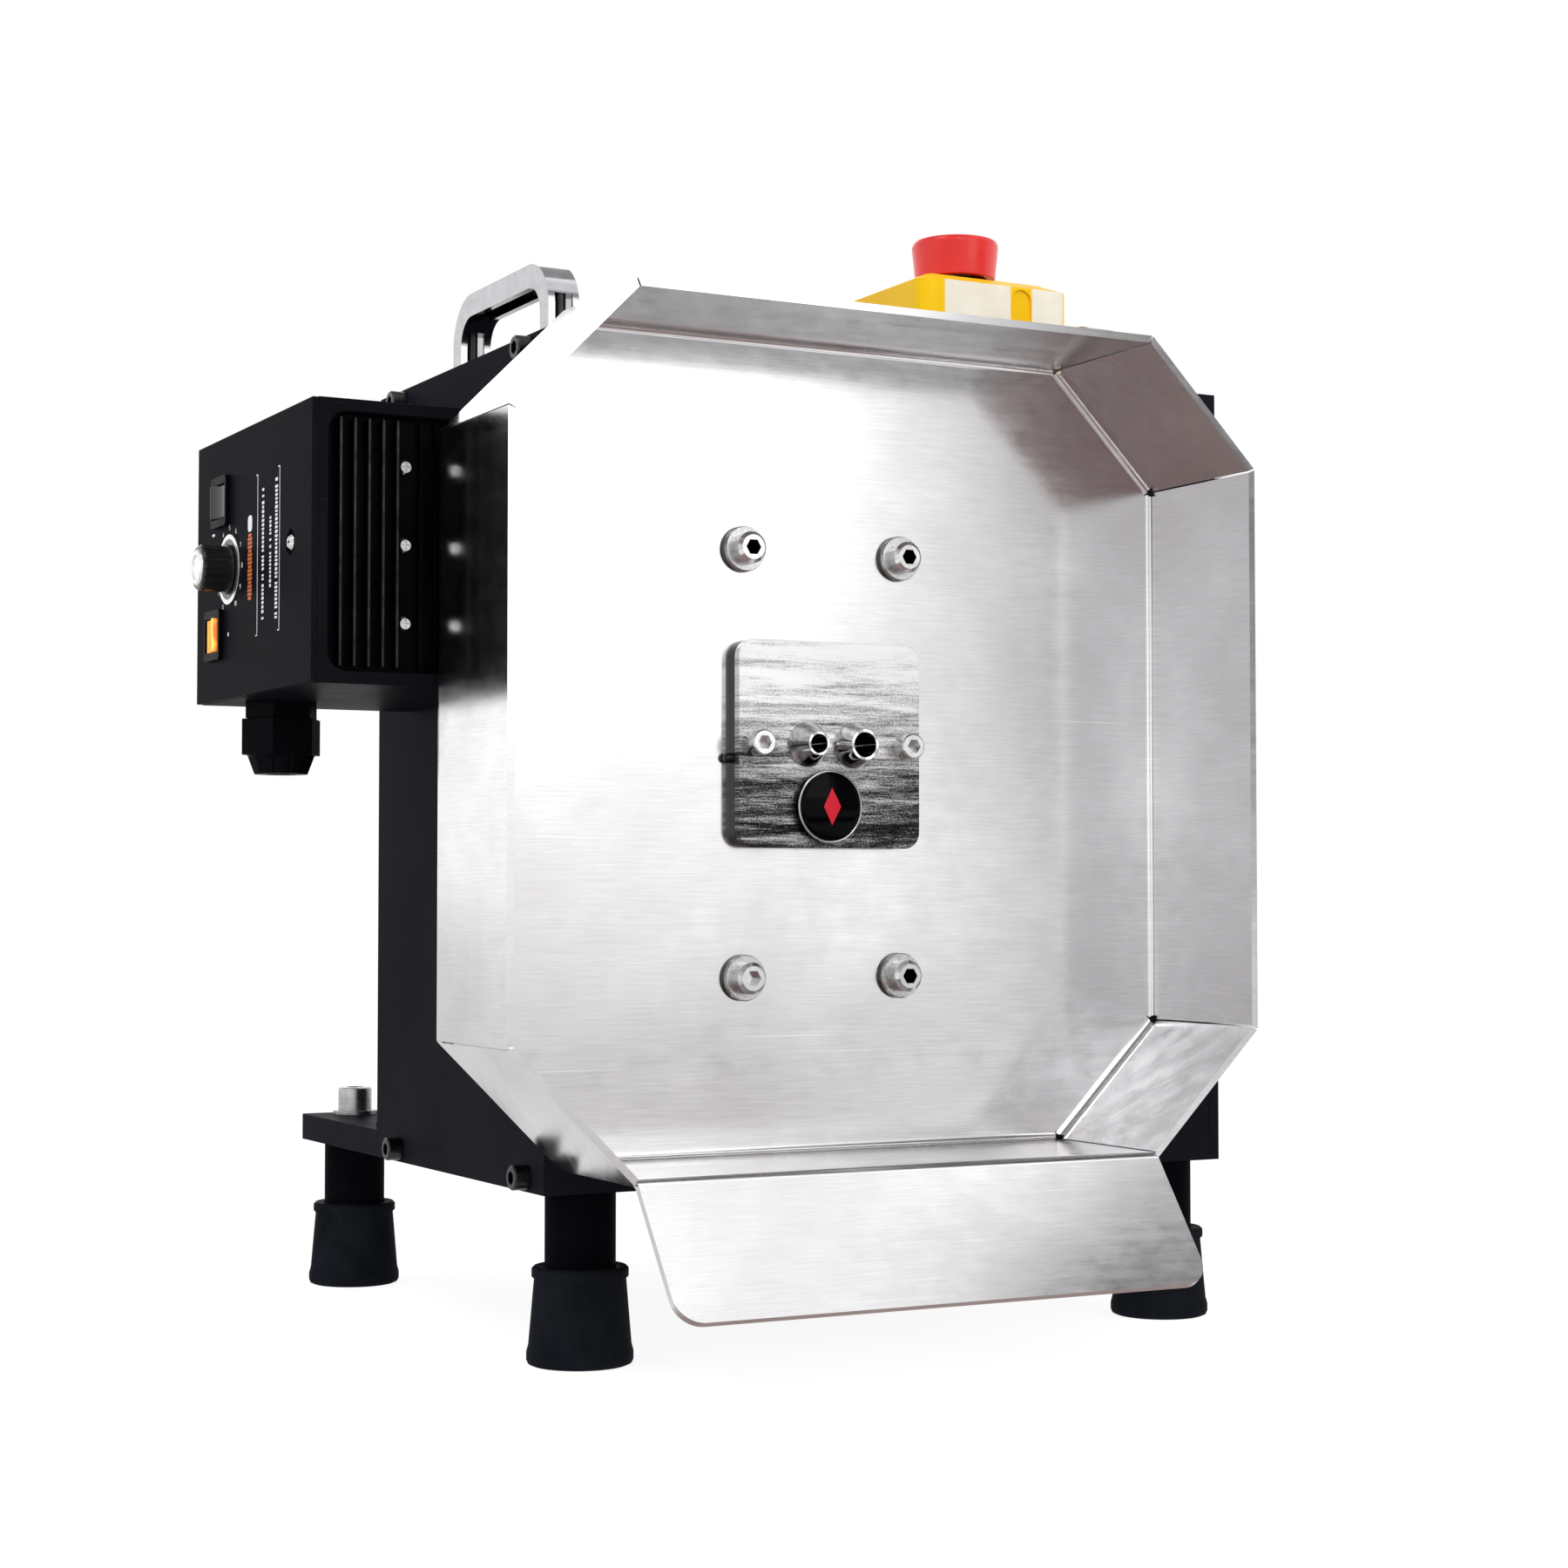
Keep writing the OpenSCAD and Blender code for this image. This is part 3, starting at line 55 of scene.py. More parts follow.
def middle(node):
    low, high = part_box(node)
    return (low + high) / 2


tray_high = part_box("collection_tray")[1]
die_low, die_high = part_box("die_plate")
face_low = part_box("control_face_plate")[0]
fins_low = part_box("heat_sink")[0]
AXIS_X = (die_low.x + die_high.x) / 2
AXIS_Z = (die_low.z + die_high.z) / 2
SHEET = 3 * MM
STRIP_FRONT = -1.35
# (bearing in degrees from -Y towards +X, share of the studio's light that comes from there)
STUDIO_SHARES = ((-180, 1.0), (-75, 1.0), (-60, 0.8), (-25, 0.8), (-15, 1.0), (31.5, 1.0), (34.5, 0.2),
                 (58, 0.2), (66, 1.0), (180, 1.0))
PANEL_Y = tray_high.y - SHEET


# ---- Materials ----

class Shader:
    """A material's node tree with short calls for the nodes used here."""

    def __init__(self, name, **sockets):
        self.material = bpy.data.materials.new(name)
        self.material.use_nodes = True
        self.tree = self.material.node_tree
        self.surface = self.tree.nodes["Principled BSDF"]
        for socket, value in sockets.items():
            self.surface.inputs[socket.replace("_", " ")].default_value = value

    def add(self, kind, inputs=None, **settings):
        made = self.tree.nodes.new(kind)
        for key, value in settings.items():
            setattr(made, key, value)
        for key, value in (inputs or {}).items():
            self.feed(made.inputs[key], value)
        return made

    def feed(self, socket, value):
        if isinstance(value, bpy.types.NodeSocket):
            self.tree.links.new(value, socket)
        else:
            socket.default_value = value

    def to(self, socket, value):
        self.feed(self.surface.inputs[socket], value)

    def place(self, scale=(1, 1, 1), turn=(0, 0, 0), source="Object"):
        """Object or UV coordinates in metres, turned and then stretched."""
        where = self.add("ShaderNodeTexCoord").outputs[source]
        return self.add("ShaderNodeMapping", {"Vector": where, "Scale": scale, "Rotation": turn}).outputs[0]

    def noise(self, where, scale, detail=4, rough=0.5, distort=0.0):
        return self.add("ShaderNodeTexNoise", {"Vector": where, "Scale": scale, "Detail": detail,
                                               "Roughness": rough, "Distortion": distort}).outputs["Fac"]

    def cells(self, where, scale):
        return self.add("ShaderNodeTexVoronoi", {"Vector": where, "Scale": scale}).outputs["Distance"]

    def span(self, value, low, high, to_low=0.0, to_high=1.0):
        return self.add("ShaderNodeMapRange", {"Value": value, "From Min": low, "From Max": high,
                                               "To Min": to_low, "To Max": to_high}).outputs[0]

    def maths(self, operation, first, second=0.0, third=0.0):
        return self.add("ShaderNodeMath", {0: first, 1: second, 2: third}, operation=operation).outputs[0]

    def ramp(self, value, *stops):
        made = self.add("ShaderNodeValToRGB", {"Fac": value})
        points = made.color_ramp.elements
        while len(points) < len(stops):
            points.new(0.5)
        for point, (position, colour) in zip(points, stops):
            point.position = position
            point.color = colour if len(colour) == 4 else (*colour, 1)
        return made.outputs["Color"]

    def mix(self, amount, first, second):
        made = self.add("ShaderNodeMix", data_type="RGBA")
        for socket, value in zip((made.inputs[0], made.inputs[6], made.inputs[7]), (amount, first, second)):
            self.feed(socket, value)
        return made.outputs[2]

    def bump(self, *layers):
        """Each layer is (height, strength, distance in metres)."""
        normal = None
        for height, strength, distance in layers:
            inputs = {"Height": height, "Strength": strength, "Distance": distance}
            if normal is not None:
                inputs["Normal"] = normal
            normal = self.add("ShaderNodeBump", inputs).outputs[0]
        self.to("Normal", normal)


def rgb(grey_or_colour, second=None, third=None):
    if second is None:
        return (grey_or_colour,) * 3 + (1,)
    return (grey_or_colour, second, third, 1)


def powder_coat(name, dark, light, rough=0.42):
    """Black powder coat: orange-peel skin, faint tone patches and a few fine scuffs."""
    s = Shader(name, Specular_IOR_Level=0.004)
    where = s.place()
    patches = s.noise(where, 14, 5, 0.6)
    scuffs = s.noise(s.place((3, 60, 260), (0.3, 0.2, 0.5)), 9, 3, 0.7)
    scuff = s.span(scuffs, 0.68, 0.8)
    s.to("Base Color", s.mix(scuff, s.ramp(patches, (0.3, dark), (0.7, light)), rgb(0.06)))
    s.to("Roughness", s.span(patches, 0.2, 0.8, rough - 0.05, rough + 0.08))
    s.bump((s.cells(where, 1500), 0.25, 0.00006), (s.noise(where, 420, 3), 0.35, 0.00008))
    return s.material


def brushed(name, dark, light, rough, grain):
    """Brushed metal: grain holds the stretch of the scratches along each axis."""
    s = Shader(name, Metallic=1.0)
    where = s.place(grain)
    wide = s.noise(where, 30, 6, 0.65)
    fine = s.noise(where, 190, 3, 0.7)
    cloud = s.noise(s.place(), 9, 4, 0.55)
    streak = s.maths("MULTIPLY_ADD", fine, 0.45, s.maths("MULTIPLY", wide, 0.55))
    tone = s.maths("MULTIPLY_ADD", s.maths("SUBTRACT", cloud, 0.5), 0.35, streak)
    reach = 0.14
    s.to("Base Color", s.ramp(s.span(tone, 0.5 - reach, 0.5 + reach), (0.0, dark), (1.0, light)))
    s.to("Roughness", s.span(streak, 0.3, 0.7, rough - 0.06, rough + 0.08))
    s.bump((wide, 0.10, 0.00008), (fine, 0.16, 0.00003))
    return s.material


def turned(name, dark, light, rough, axis=1):
    """Bright metal with fine lathe rings round one axis and faint handling marks."""
    s = Shader(name, Metallic=1.0)
    where = s.place()
    rings = s.noise(s.place([2600 if i == axis else 30 for i in range(3)]), 1, 3, 0.6)
    marks = s.noise(where, 160, 4, 0.65)
    s.to("Base Color", s.ramp(s.maths("MULTIPLY_ADD", marks, 0.6, s.maths("MULTIPLY", rings, 0.4)),
                              (0.3, dark), (0.65, light)))
    s.to("Roughness", s.span(marks, 0.3, 0.7, rough, rough + 0.10))
    s.bump((rings, 0.10, 0.00003), (marks, 0.08, 0.00004))
    return s.material


def polished_cones(*axes):
    """Nozzles polished by hand: soft lengthwise bands of darker and brighter steel round each bore, painted
    reflections.
    """
    s = Shader("nozzle_polished", Metallic=1.0)
    split = s.add("ShaderNodeSeparateXYZ", {0: s.place()})
    between = sum(axes) / len(axes)
    side = s.span(split.outputs[0], between - 0.0001, between + 0.0001)
    across = s.maths("SUBTRACT", split.outputs[0], s.span(side, 0.0, 1.0, *axes))
    angle = s.maths("ARCTAN2", s.maths("SUBTRACT", split.outputs[2], AXIS_Z), across)
    waver = s.maths("MULTIPLY", s.noise(s.place(), 120, 3), 2.0)
    # Painted reflections: dark and bright lengthwise bands round each nozzle's bore.
    painted_reflection_bands = s.maths("SINE", s.maths("MULTIPLY_ADD", angle, 5.0, waver))
    marks = s.noise(s.place(), 260, 4, 0.65)
    tone = s.maths("MULTIPLY_ADD", painted_reflection_bands, 0.35, marks)
    s.to("Base Color", s.ramp(tone, (0.2, rgb(0.34)), (0.5, rgb(0.72)), (0.75, rgb(0.98))))
    s.to("Roughness", s.span(marks, 0.3, 0.7, 0.05, 0.12))
    s.bump((marks, 0.08, 0.00003))
    return s.material


def rubber(name, dark, light, rough=0.62):
    """Moulded rubber: matt skin, dusty patches, fine pores."""
    s = Shader(name, Specular_IOR_Level=0.004)
    where = s.place()
    dust = s.noise(where, 45, 6, 0.65)
    pores = s.cells(where, 1300)
    s.to("Base Color", s.ramp(dust, (0.35, dark), (0.75, light)))
    s.to("Roughness", s.span(dust, 0.3, 0.7, rough - 0.08, rough + 0.1))
    s.bump((pores, 0.25, 0.00005), (s.noise(where, 300, 4), 0.3, 0.00008))
    return s.material


def plastic(name, dark, light, rough, skin=0.2, grain=900, coat=0.0, gloss=0.12, **sockets):
    """Moulded plastic: even colour with faint flow marks and a fine moulded skin."""
    s = Shader(name, Coat_Weight=coat, Coat_Roughness=0.08, Specular_IOR_Level=gloss, **sockets)
    where = s.place()
    flow = s.noise(where, 22, 5, 0.55, 0.6)
    s.to("Base Color", s.ramp(flow, (0.3, dark), (0.7, light)))
    s.to("Roughness", s.span(s.noise(where, 70, 4), 0.3, 0.7, rough - 0.04, rough + 0.06))
    s.bump((s.cells(where, grain), skin, 0.00005), (flow, 0.12, 0.0004))
    return s.material


def tray_steel():
    """The tray's sheet: grain runs along the sheet's own X before it was folded, from its UV map."""
    s = Shader("tray_sheet_steel", Metallic=1.0, Anisotropic=0.5, Anisotropic_Rotation=0.25)
    grain = s.place((14, 420, 1), source="UV")
    hair = s.noise(grain, 3.2, 4, 0.7)
    wide = s.noise(s.place((5, 90, 1), source="UV"), 2.0, 5, 0.6)
    cloud = s.noise(s.place(source="UV"), 9, 5, 0.6, 0.4)
    handled = s.noise(s.place((60, 75, 1), (0, 0, 0.6), "UV"), 1.0, 6, 0.7)
    scratch = s.span(s.noise(s.place((6, 700, 1), (0, 0, 0.55), "UV"), 1.0, 2, 0.5), 0.70, 0.76)
    tone = s.maths("MULTIPLY_ADD", s.maths("SUBTRACT", hair, 0.5), 0.55, cloud)
    grey_tone = s.ramp(tone, (0.28, rgb(0.59, 0.575, 0.58)), (0.50, rgb(0.66, 0.655, 0.665)),
                  (0.74, rgb(0.76, 0.76, 0.77)))
    s.to("Base Color", s.mix(s.maths("MULTIPLY", scratch, 0.5), grey_tone, rgb(0.95)))
    gloss = s.maths("MULTIPLY_ADD", s.maths("SUBTRACT", wide, 0.5), 0.12,
                    s.span(handled, 0.3, 0.7, 0.13, 0.21))
    s.to("Roughness", gloss)
    s.bump((cloud, 0.07, 0.0006), (hair, 0.10, 0.00003), (scratch, 0.12, 0.00003))
    return s.material


def tray_cut_edge():
    """The sheet's laser-cut edge, brighter and finely striated across its thickness."""
    s = Shader("tray_cut_edge", Metallic=1.0)
    stria = s.noise(s.place((900, 900, 900)), 1.0, 3, 0.6)
    s.to("Base Color", s.ramp(stria, (0.3, rgb(0.62)), (0.6, rgb(0.9))))
    s.to("Roughness", s.span(stria, 0.3, 0.7, 0.22, 0.42))
    s.bump((stria, 0.35, 0.00008))
    return s.material


def die_steel():
    """The die plate: coarse horizontal streaks that run from near black to near white, and a painted
    highlight that lightens its top.
    """
    s = Shader("die_streaked_steel", Metallic=1.0)
    bands = s.noise(s.place((14, 1, 240)), 1.0, 6, 0.72, 0.6)
    hair = s.noise(s.place((90, 1, 1500)), 1.0, 5, 0.8, 0.3)
    grit = s.noise(s.place((1100, 1, 1800)), 1.0, 2, 0.8)
    height = s.add("ShaderNodeSeparateXYZ", {0: s.place()}).outputs[2]
    # Painted highlight: the tone rises towards the plate's top edge.
    painted_top_highlight = s.span(height, AXIS_Z - 0.030, AXIS_Z + 0.040, -0.02, 0.25)
    mixed = s.maths("MULTIPLY_ADD", bands, 0.60, s.maths("MULTIPLY_ADD", hair, 0.42, painted_top_highlight))
    tone = s.maths("MULTIPLY_ADD", s.maths("SUBTRACT", grit, 0.5), 0.34, mixed)
    s.to("Base Color", s.ramp(tone, (0.42, rgb(0.004)), (0.50, rgb(0.045)), (0.57, rgb(0.28)),
                              (0.72, rgb(0.78))))
    s.to("Roughness", s.span(bands, 0.3, 0.7, 0.50, 0.34))
    s.bump((bands, 0.30, 0.00030), (hair, 0.35, 0.00008))
    return s.material


def finned_anodise():
    """Black anodising on the heat sink: near black, with a paler noisy grey on the fins' front faces."""
    s = Shader("heat_sink_anodised", Metallic=0.6, Specular_IOR_Level=0.02)
    where = s.place()
    facing = s.add("ShaderNodeSeparateXYZ", {0: s.add("ShaderNodeTexCoord").outputs["Normal"]}).outputs[1]
    depth = s.add("ShaderNodeSeparateXYZ", {0: where}).outputs[1]
    # The faces at the fins' front, facing -Y, get a paler noisy grey.
    front = s.maths("MULTIPLY", s.span(facing, -0.85, -0.97),
                    s.span(depth, fins_low.y + 0.0012, fins_low.y + 0.0004))
    grey_tone = s.span(s.noise(s.place((40, 40, 120)), 1.0, 3, 0.6), 0.30, 0.70, 0.012, 0.045)
    grain = s.noise(s.place((30, 500, 30)), 1.0, 3, 0.7)
    s.to("Base Color", s.mix(front, s.ramp(grain, (0.3, rgb(0.001)), (0.7, rgb(0.004))), grey_tone))
    s.to("Roughness", s.span(grain, 0.3, 0.7, 0.35, 0.50))
    s.bump((grain, 0.2, 0.00004))
    return s.material


def washer_stack():
    """A rubber seal at the back of the washer and a bright steel flange in front of it."""
    s = Shader("washer_flange_and_seal")
    where = s.place()
    depth = s.add("ShaderNodeSeparateXYZ", {0: where}).outputs[1]
    steel = s.span(depth, PANEL_Y - 0.0019, PANEL_Y - 0.0021)
    marks = s.noise(where, 190, 5, 0.65)
    rings = s.noise(s.place((900, 20, 900)), 1.0, 3, 0.6)
    bright = s.ramp(s.maths("MULTIPLY_ADD", rings, 0.5, s.maths("MULTIPLY", marks, 0.5)),
                    (0.3, rgb(0.30)), (0.65, rgb(0.66)))
    seal = s.ramp(marks, (0.3, rgb(0.008)), (0.7, rgb(0.025)))
    s.to("Base Color", s.mix(steel, seal, bright))
    s.to("Metallic", steel)
    s.to("Roughness", s.span(marks, 0.3, 0.7, 0.22, 0.36))
    s.bump((rings, 0.12, 0.00004), (marks, 0.1, 0.00004))
    return s.material


def dial_face(centre):
    """The dial: a bright ring round a black centre."""
    s = Shader("dial_ring_and_centre")
    where = s.place()
    split = s.add("ShaderNodeSeparateXYZ", {0: where})
    across = s.maths("POWER", s.maths("SUBTRACT", split.outputs[1], centre.y), 2.0)
    up = s.maths("POWER", s.maths("SUBTRACT", split.outputs[2], centre.z), 2.0)
    out = s.maths("SQRT", s.maths("ADD", across, up))
    ring = s.span(out, 0.0123, 0.0127)
    marks = s.noise(where, 240, 4, 0.6)
    s.to("Base Color", s.mix(ring, s.ramp(marks, (0.3, rgb(0.004)), (0.7, rgb(0.010))),
                             s.ramp(marks, (0.3, rgb(0.55)), (0.7, rgb(0.85)))))
    s.to("Metallic", ring)
    s.to("Roughness", s.span(marks, 0.3, 0.7, 0.25, 0.42))
    s.bump((marks, 0.1, 0.00004))
    return s.material


def lit_lens():
    """Amber rocker lens with its lamp on: bright bars inside a darker amber frame."""
    s = Shader("amber_lit_lens", Coat_Weight=0.5, Coat_Roughness=0.05)
    bars = s.add("ShaderNodeTexWave", {"Vector": s.place(), "Scale": 190.0, "Distortion": 2.5, "Detail": 2.0},
                 bands_direction="Y").outputs["Fac"]
    glow = s.ramp(bars, (0.2, rgb(0.75, 0.16, 0.01)), (0.8, rgb(1.0, 0.45, 0.06)))
    s.to("Base Color", glow)
    s.to("Emission Color", glow)
    s.to("Emission Strength", s.span(bars, 0.0, 1.0, 0.5, 1.3))
    s.to("Roughness", s.span(s.noise(s.place(), 300), 0.3, 0.7, 0.15, 0.25))
    return s.material


def stop_yellow(centre_x, groove_x):
    """Yellow stop-button box whose front, between two yellow flutes, carries a painted pale highlight."""
    s = Shader("stop_box_yellow", Coat_Weight=0.06, Coat_Roughness=0.12, Specular_IOR_Level=0.1)
    where = s.place()
    split = s.add("ShaderNodeSeparateXYZ", {0: where})
    facing = s.add("ShaderNodeSeparateXYZ", {0: s.add("ShaderNodeTexCoord").outputs["Normal"]}).outputs[1]
    flow = s.noise(where, 26, 5, 0.6)
    yellow = s.ramp(flow, (0.3, rgb(0.93, 0.52, 0.001)), (0.7, rgb(1.0, 0.62, 0.003)))
    # Pale cream that stands for the painted highlight on the front.
    pale = s.ramp(s.noise(where, 60, 5, 0.6), (0.3, rgb(0.86, 0.78, 0.62)), (0.7, rgb(0.93, 0.88, 0.77)))
    off_groove = s.span(s.maths("ABSOLUTE", s.maths("SUBTRACT", split.outputs[0], groove_x)), 0.0052, 0.0062)
    off_corner = s.span(s.maths("SUBTRACT", split.outputs[0], centre_x - 0.0385), 0.0105, 0.0117)
    forward = s.span(facing, -0.80, -0.92)
    # Painted highlight: front faces away from the groove and the left corner get the pale cream instead of
    # yellow.
    painted_front_highlight = s.maths("MULTIPLY", forward, s.maths("MULTIPLY", off_groove, off_corner))
    s.to("Base Color", s.mix(painted_front_highlight, yellow, pale))
    s.to("Roughness", s.span(flow, 0.3, 0.7, 0.30, 0.40))
    s.bump((s.cells(where, 800), 0.10, 0.00005), (flow, 0.1, 0.0004))
    return s.material


COAT = powder_coat("black_powder_coat", (0.008, 0.008, 0.0115), (0.014, 0.014, 0.019))
POST = powder_coat("leg_black", (0.002, 0.002, 0.003), (0.004, 0.004, 0.006))
CASE = powder_coat("controller_black", (0.004, 0.004, 0.006), (0.008, 0.008, 0.011), 0.38)
ANODISED = finned_anodise()
TRAY = tray_steel()
CUT = tray_cut_edge()
DIE = die_steel()
NOZZLE = polished_cones(middle("small_nozzle").x, middle("large_nozzle").x)
SCREW = turned("screw_plated", rgb(0.44), rgb(0.74), 0.13)
CHROME = turned("handle_chrome", rgb(0.34, 0.335, 0.35), rgb(0.46, 0.45, 0.47), 0.09, axis=2)
OXIDE = turned("black_oxide", rgb(0.020), rgb(0.055), 0.28)
BOLT = turned("leg_bolt_zinc", rgb(0.30), rgb(0.55), 0.24, axis=2)
FOOT = rubber("foot_rubber", (0.006, 0.007, 0.010), (0.013, 0.015, 0.019), 0.50)
WASHER = washer_stack()
ROLLER = rubber("roller_rubber", (0.03, 0.03, 0.033), (0.07, 0.07, 0.075))
CAP = plastic("cap_gloss_black", (0.001, 0.001, 0.0015), (0.002, 0.002, 0.003), 0.06, 0.03, 700, 0.04, 0.02)
EMBLEM = plastic("emblem_red", (0.62, 0.012, 0.03), (0.80, 0.03, 0.055), 0.30, 0.1, 1600)
PLASTIC = plastic("black_plastic", (0.002, 0.002, 0.003), (0.005, 0.005, 0.007), 0.38, gloss=0.02)
KNOB = plastic("knob_black", (0.006, 0.006, 0.007), (0.012, 0.012, 0.014), 0.24, 0.1, 900, 0.3)
GREY = plastic("grey_plastic", (0.035, 0.036, 0.04), (0.06, 0.062, 0.068), 0.45)
RED = plastic("stop_red", (0.62, 0.020, 0.018), (0.74, 0.034, 0.028), 0.32, 0.06, 800, 0.10, 0.25)
WHITE = plastic("print_white", (0.62, 0.64, 0.68), (0.82, 0.84, 0.88), 0.45, 0.15, 2400)
ORANGE = plastic("print_orange", (0.42, 0.09, 0.02), (0.66, 0.17, 0.04), 0.45, 0.15, 2400)
LENS = lit_lens()
DIAL = brushed("knob_disc_silver", rgb(0.60), rgb(0.88), 0.32, (12, 12, 12))
RING = dial_face(middle("dial_plate"))
BOARD = plastic("board_green", (0.012, 0.085, 0.03), (0.025, 0.15, 0.055), 0.35, 0.3, 500)
MILLED = brushed("milled_aluminium", rgb(0.46), rgb(0.72), 0.34, (8, 60, 1))
CAST = rubber("cast_aluminium", (0.20, 0.205, 0.215), (0.34, 0.345, 0.36), 0.48)
ENAMEL = powder_coat("motor_enamel", (0.016, 0.020, 0.026), (0.030, 0.036, 0.044), 0.34)
GROUND = brushed("ground_steel", rgb(0.48), rgb(0.76), 0.24, (90, 6, 6))
BRASS = brushed("gear_brass", rgb(0.42, 0.25, 0.07), rgb(0.75, 0.52, 0.20), 0.28, (6, 40, 40))
ZINC = brushed("zinc_sheet", rgb(0.36), rgb(0.62), 0.36, (20, 60, 60))
CHUTE = brushed("chute_steel", rgb(0.42), rgb(0.70), 0.34, (40, 4, 40))
YELLOW = stop_yellow(middle("stop_box_lid").x, middle("stop_box_lid").x + 13 * MM)

# node: (material, width of its rounded edges in mm)
FINISH = {
    "base_plate": (COAT, 0.7), "top_plate": (COAT, 0.7), "front_plate": (COAT, 0.4),
    "left_side_plate": (COAT, 0.6), "right_side_plate": (COAT, 0.6), "rear_panel": (COAT, 0.3),
    "side_plate_screws": (OXIDE, 0.25), "leg_posts": (POST, 0.4), "rubber_feet": (FOOT, 0),
    "leg_bolts": (BOLT, 0.4), "tray_bolts": (SCREW, 0.25), "die_plate": (DIE, 0.5),
    "die_backing_plate": (OXIDE, 0.4), "small_nozzle": (NOZZLE, 0.12), "large_nozzle": (NOZZLE, 0.12),
    "die_screws": (SCREW, 0.25), "die_side_pin": (OXIDE, 0.15), "left_handle": (CHROME, 1.1),
    "right_handle": (CHROME, 1.1), "inner_cap_screws": (OXIDE, 0.2), "stop_box_base": (GREY, 0.5),
    "stop_collar": (PLASTIC, 0.4), "stop_plunger": (WHITE, 0.3),
    "stop_contact_block": (GREY, 0.5), "controller_case": (CASE, 1.2), "control_face_plate": (CASE, 0.6),
    "heat_sink": (ANODISED, 0.2), "panel_screws": (SCREW, 0.12), "dial_plate": (RING, 0.12),
    "knob_shaft": (GROUND, 0.3), "speed_potentiometer": (GREY, 0.4), "switch_housings": (PLASTIC, 0.5),
    "run_rocker": (KNOB, 0.4), "power_rocker": (LENS, 0.4), "circuit_board": (BOARD, 0.2),
    "gland_body": (PLASTIC, 0.6), "gland_nut": (PLASTIC, 0.6), "left_bearing_plate": (MILLED, 0.5),
    "right_bearing_plate": (MILLED, 0.5), "roller_bearings": (GROUND, 0.2), "lower_roller": (ROLLER, 0.3),
    "upper_roller": (ROLLER, 0.3), "lower_shaft": (GROUND, 0.3), "upper_shaft": (GROUND, 0.3),
    "lower_gear": (BRASS, 0.1), "upper_gear": (BRASS, 0.1), "shaft_coupling": (MILLED, 0.3),
    "output_shaft": (GROUND, 0.3), "gearbox": (CAST, 1.0), "motor": (ENAMEL, 0.6),
    "motor_bracket": (ZINC, 0.5), "outlet_chute": (CHUTE, 0.2), "tray_washers": (WASHER, 0.3),
    "speed_knob": (KNOB, 0.25), "knob_cap": (DIAL, 0.2), "stop_mushroom": (RED, 0.5),
    "stop_box_lid": (YELLOW, 0.8), "die_cap": (CAP, 0.5),
}


# ---- Shapes ----

def soften(piece, width):
    """Joins a CAD mesh's flat facets, rounds its sharp edges and shades it smoothly."""
    piece.data.shade_smooth()
    weld = piece.modifiers.new("weld", "WELD")
    weld.merge_threshold = 2e-6
    flat = piece.modifiers.new("flat", "DECIMATE")
    flat.decimate_type = "DISSOLVE"
    flat.angle_limit = math.radians(0.4)
    if width:
        bevel = piece.modifiers.new("edges", "BEVEL")
        bevel.width = width * MM
        bevel.segments = 3
        bevel.limit_method = "ANGLE"
        bevel.angle_limit = math.radians(28)
        bevel.harden_normals = True
        bevel.use_clamp_overlap = True
    normals = piece.modifiers.new("normals", "WEIGHTED_NORMAL")
    normals.keep_sharp = True


def paint(piece, *materials):
    piece.data.materials.clear()
    for material in materials:
        piece.data.materials.append(material)


def new_piece(name, mesh, material, body):
    piece = bpy.data.objects.new(name, mesh)
    bpy.context.scene.collection.objects.link(piece)
    paint(piece, material)
    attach(piece, body)
    return piece


def from_bmesh(name, shape):
    mesh = bpy.data.meshes.new(name)
    bmesh.ops.recalc_face_normals(shape, faces=shape.faces)
    shape.to_mesh(mesh)
    shape.free()
    return mesh


for name, (material, width) in FINISH.items():
    paint(nodes[name], material)
    soften(nodes[name], width)


# ---- Collection tray ----

def sheet_uv(mesh):
    """Gives each face the place it had in the flat sheet, in metres, so that the grain follows the folds."""
    layer = mesh.uv_layers.new(name="flat_sheet")
    for face in mesh.polygons:
        normal = face.normal
        across = Vector((normal.x, 0, normal.z))
        centre = face.center
        radial = Vector((centre.x - AXIS_X, 0, centre.z - AXIS_Z))
        outward = Vector((0, 0, 0))
        if across.length > 0.3:
            outward = across.normalized() * (1 if across.dot(radial) > 0 else -1)
        for corner in face.loop_indices:
            spot = mesh.vertices[mesh.loops[corner].vertex_index].co
            depth = PANEL_Y - spot.y
            flat = Vector((spot.x - AXIS_X, 0, spot.z - AXIS_Z)) + outward * depth
            layer.data[corner].uv = (flat.x, flat.z)


def make_tray():
    source = nodes["collection_tray"]
    mesh = source.data.copy()
    mesh.name = "tray_sheet"
    shape = bmesh.new()
    shape.from_mesh(mesh)
    bmesh.ops.remove_doubles(shape, verts=shape.verts, dist=2e-6)
    bmesh.ops.dissolve_limit(shape, angle_limit=math.radians(0.4), verts=shape.verts, edges=shape.edges)
    shape.to_mesh(mesh)
    shape.free()
    sheet_uv(mesh)
    tray = new_piece("tray_sheet", mesh, TRAY, "chassis")
    tray.data.materials.append(CUT)
    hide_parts("collection_tray")
    tray.data.shade_smooth()
    bevel = tray.modifiers.new("edges", "BEVEL")
    bevel.width = 0.35 * MM
    bevel.segments = 2
    bevel.limit_method = "ANGLE"
    bevel.angle_limit = math.radians(30)
    bevel.harden_normals = True
    bevel.material = 1
    tray.modifiers.new("normals", "WEIGHTED_NORMAL")
    return tray


make_tray()


# ---- Turned and printed pieces ----

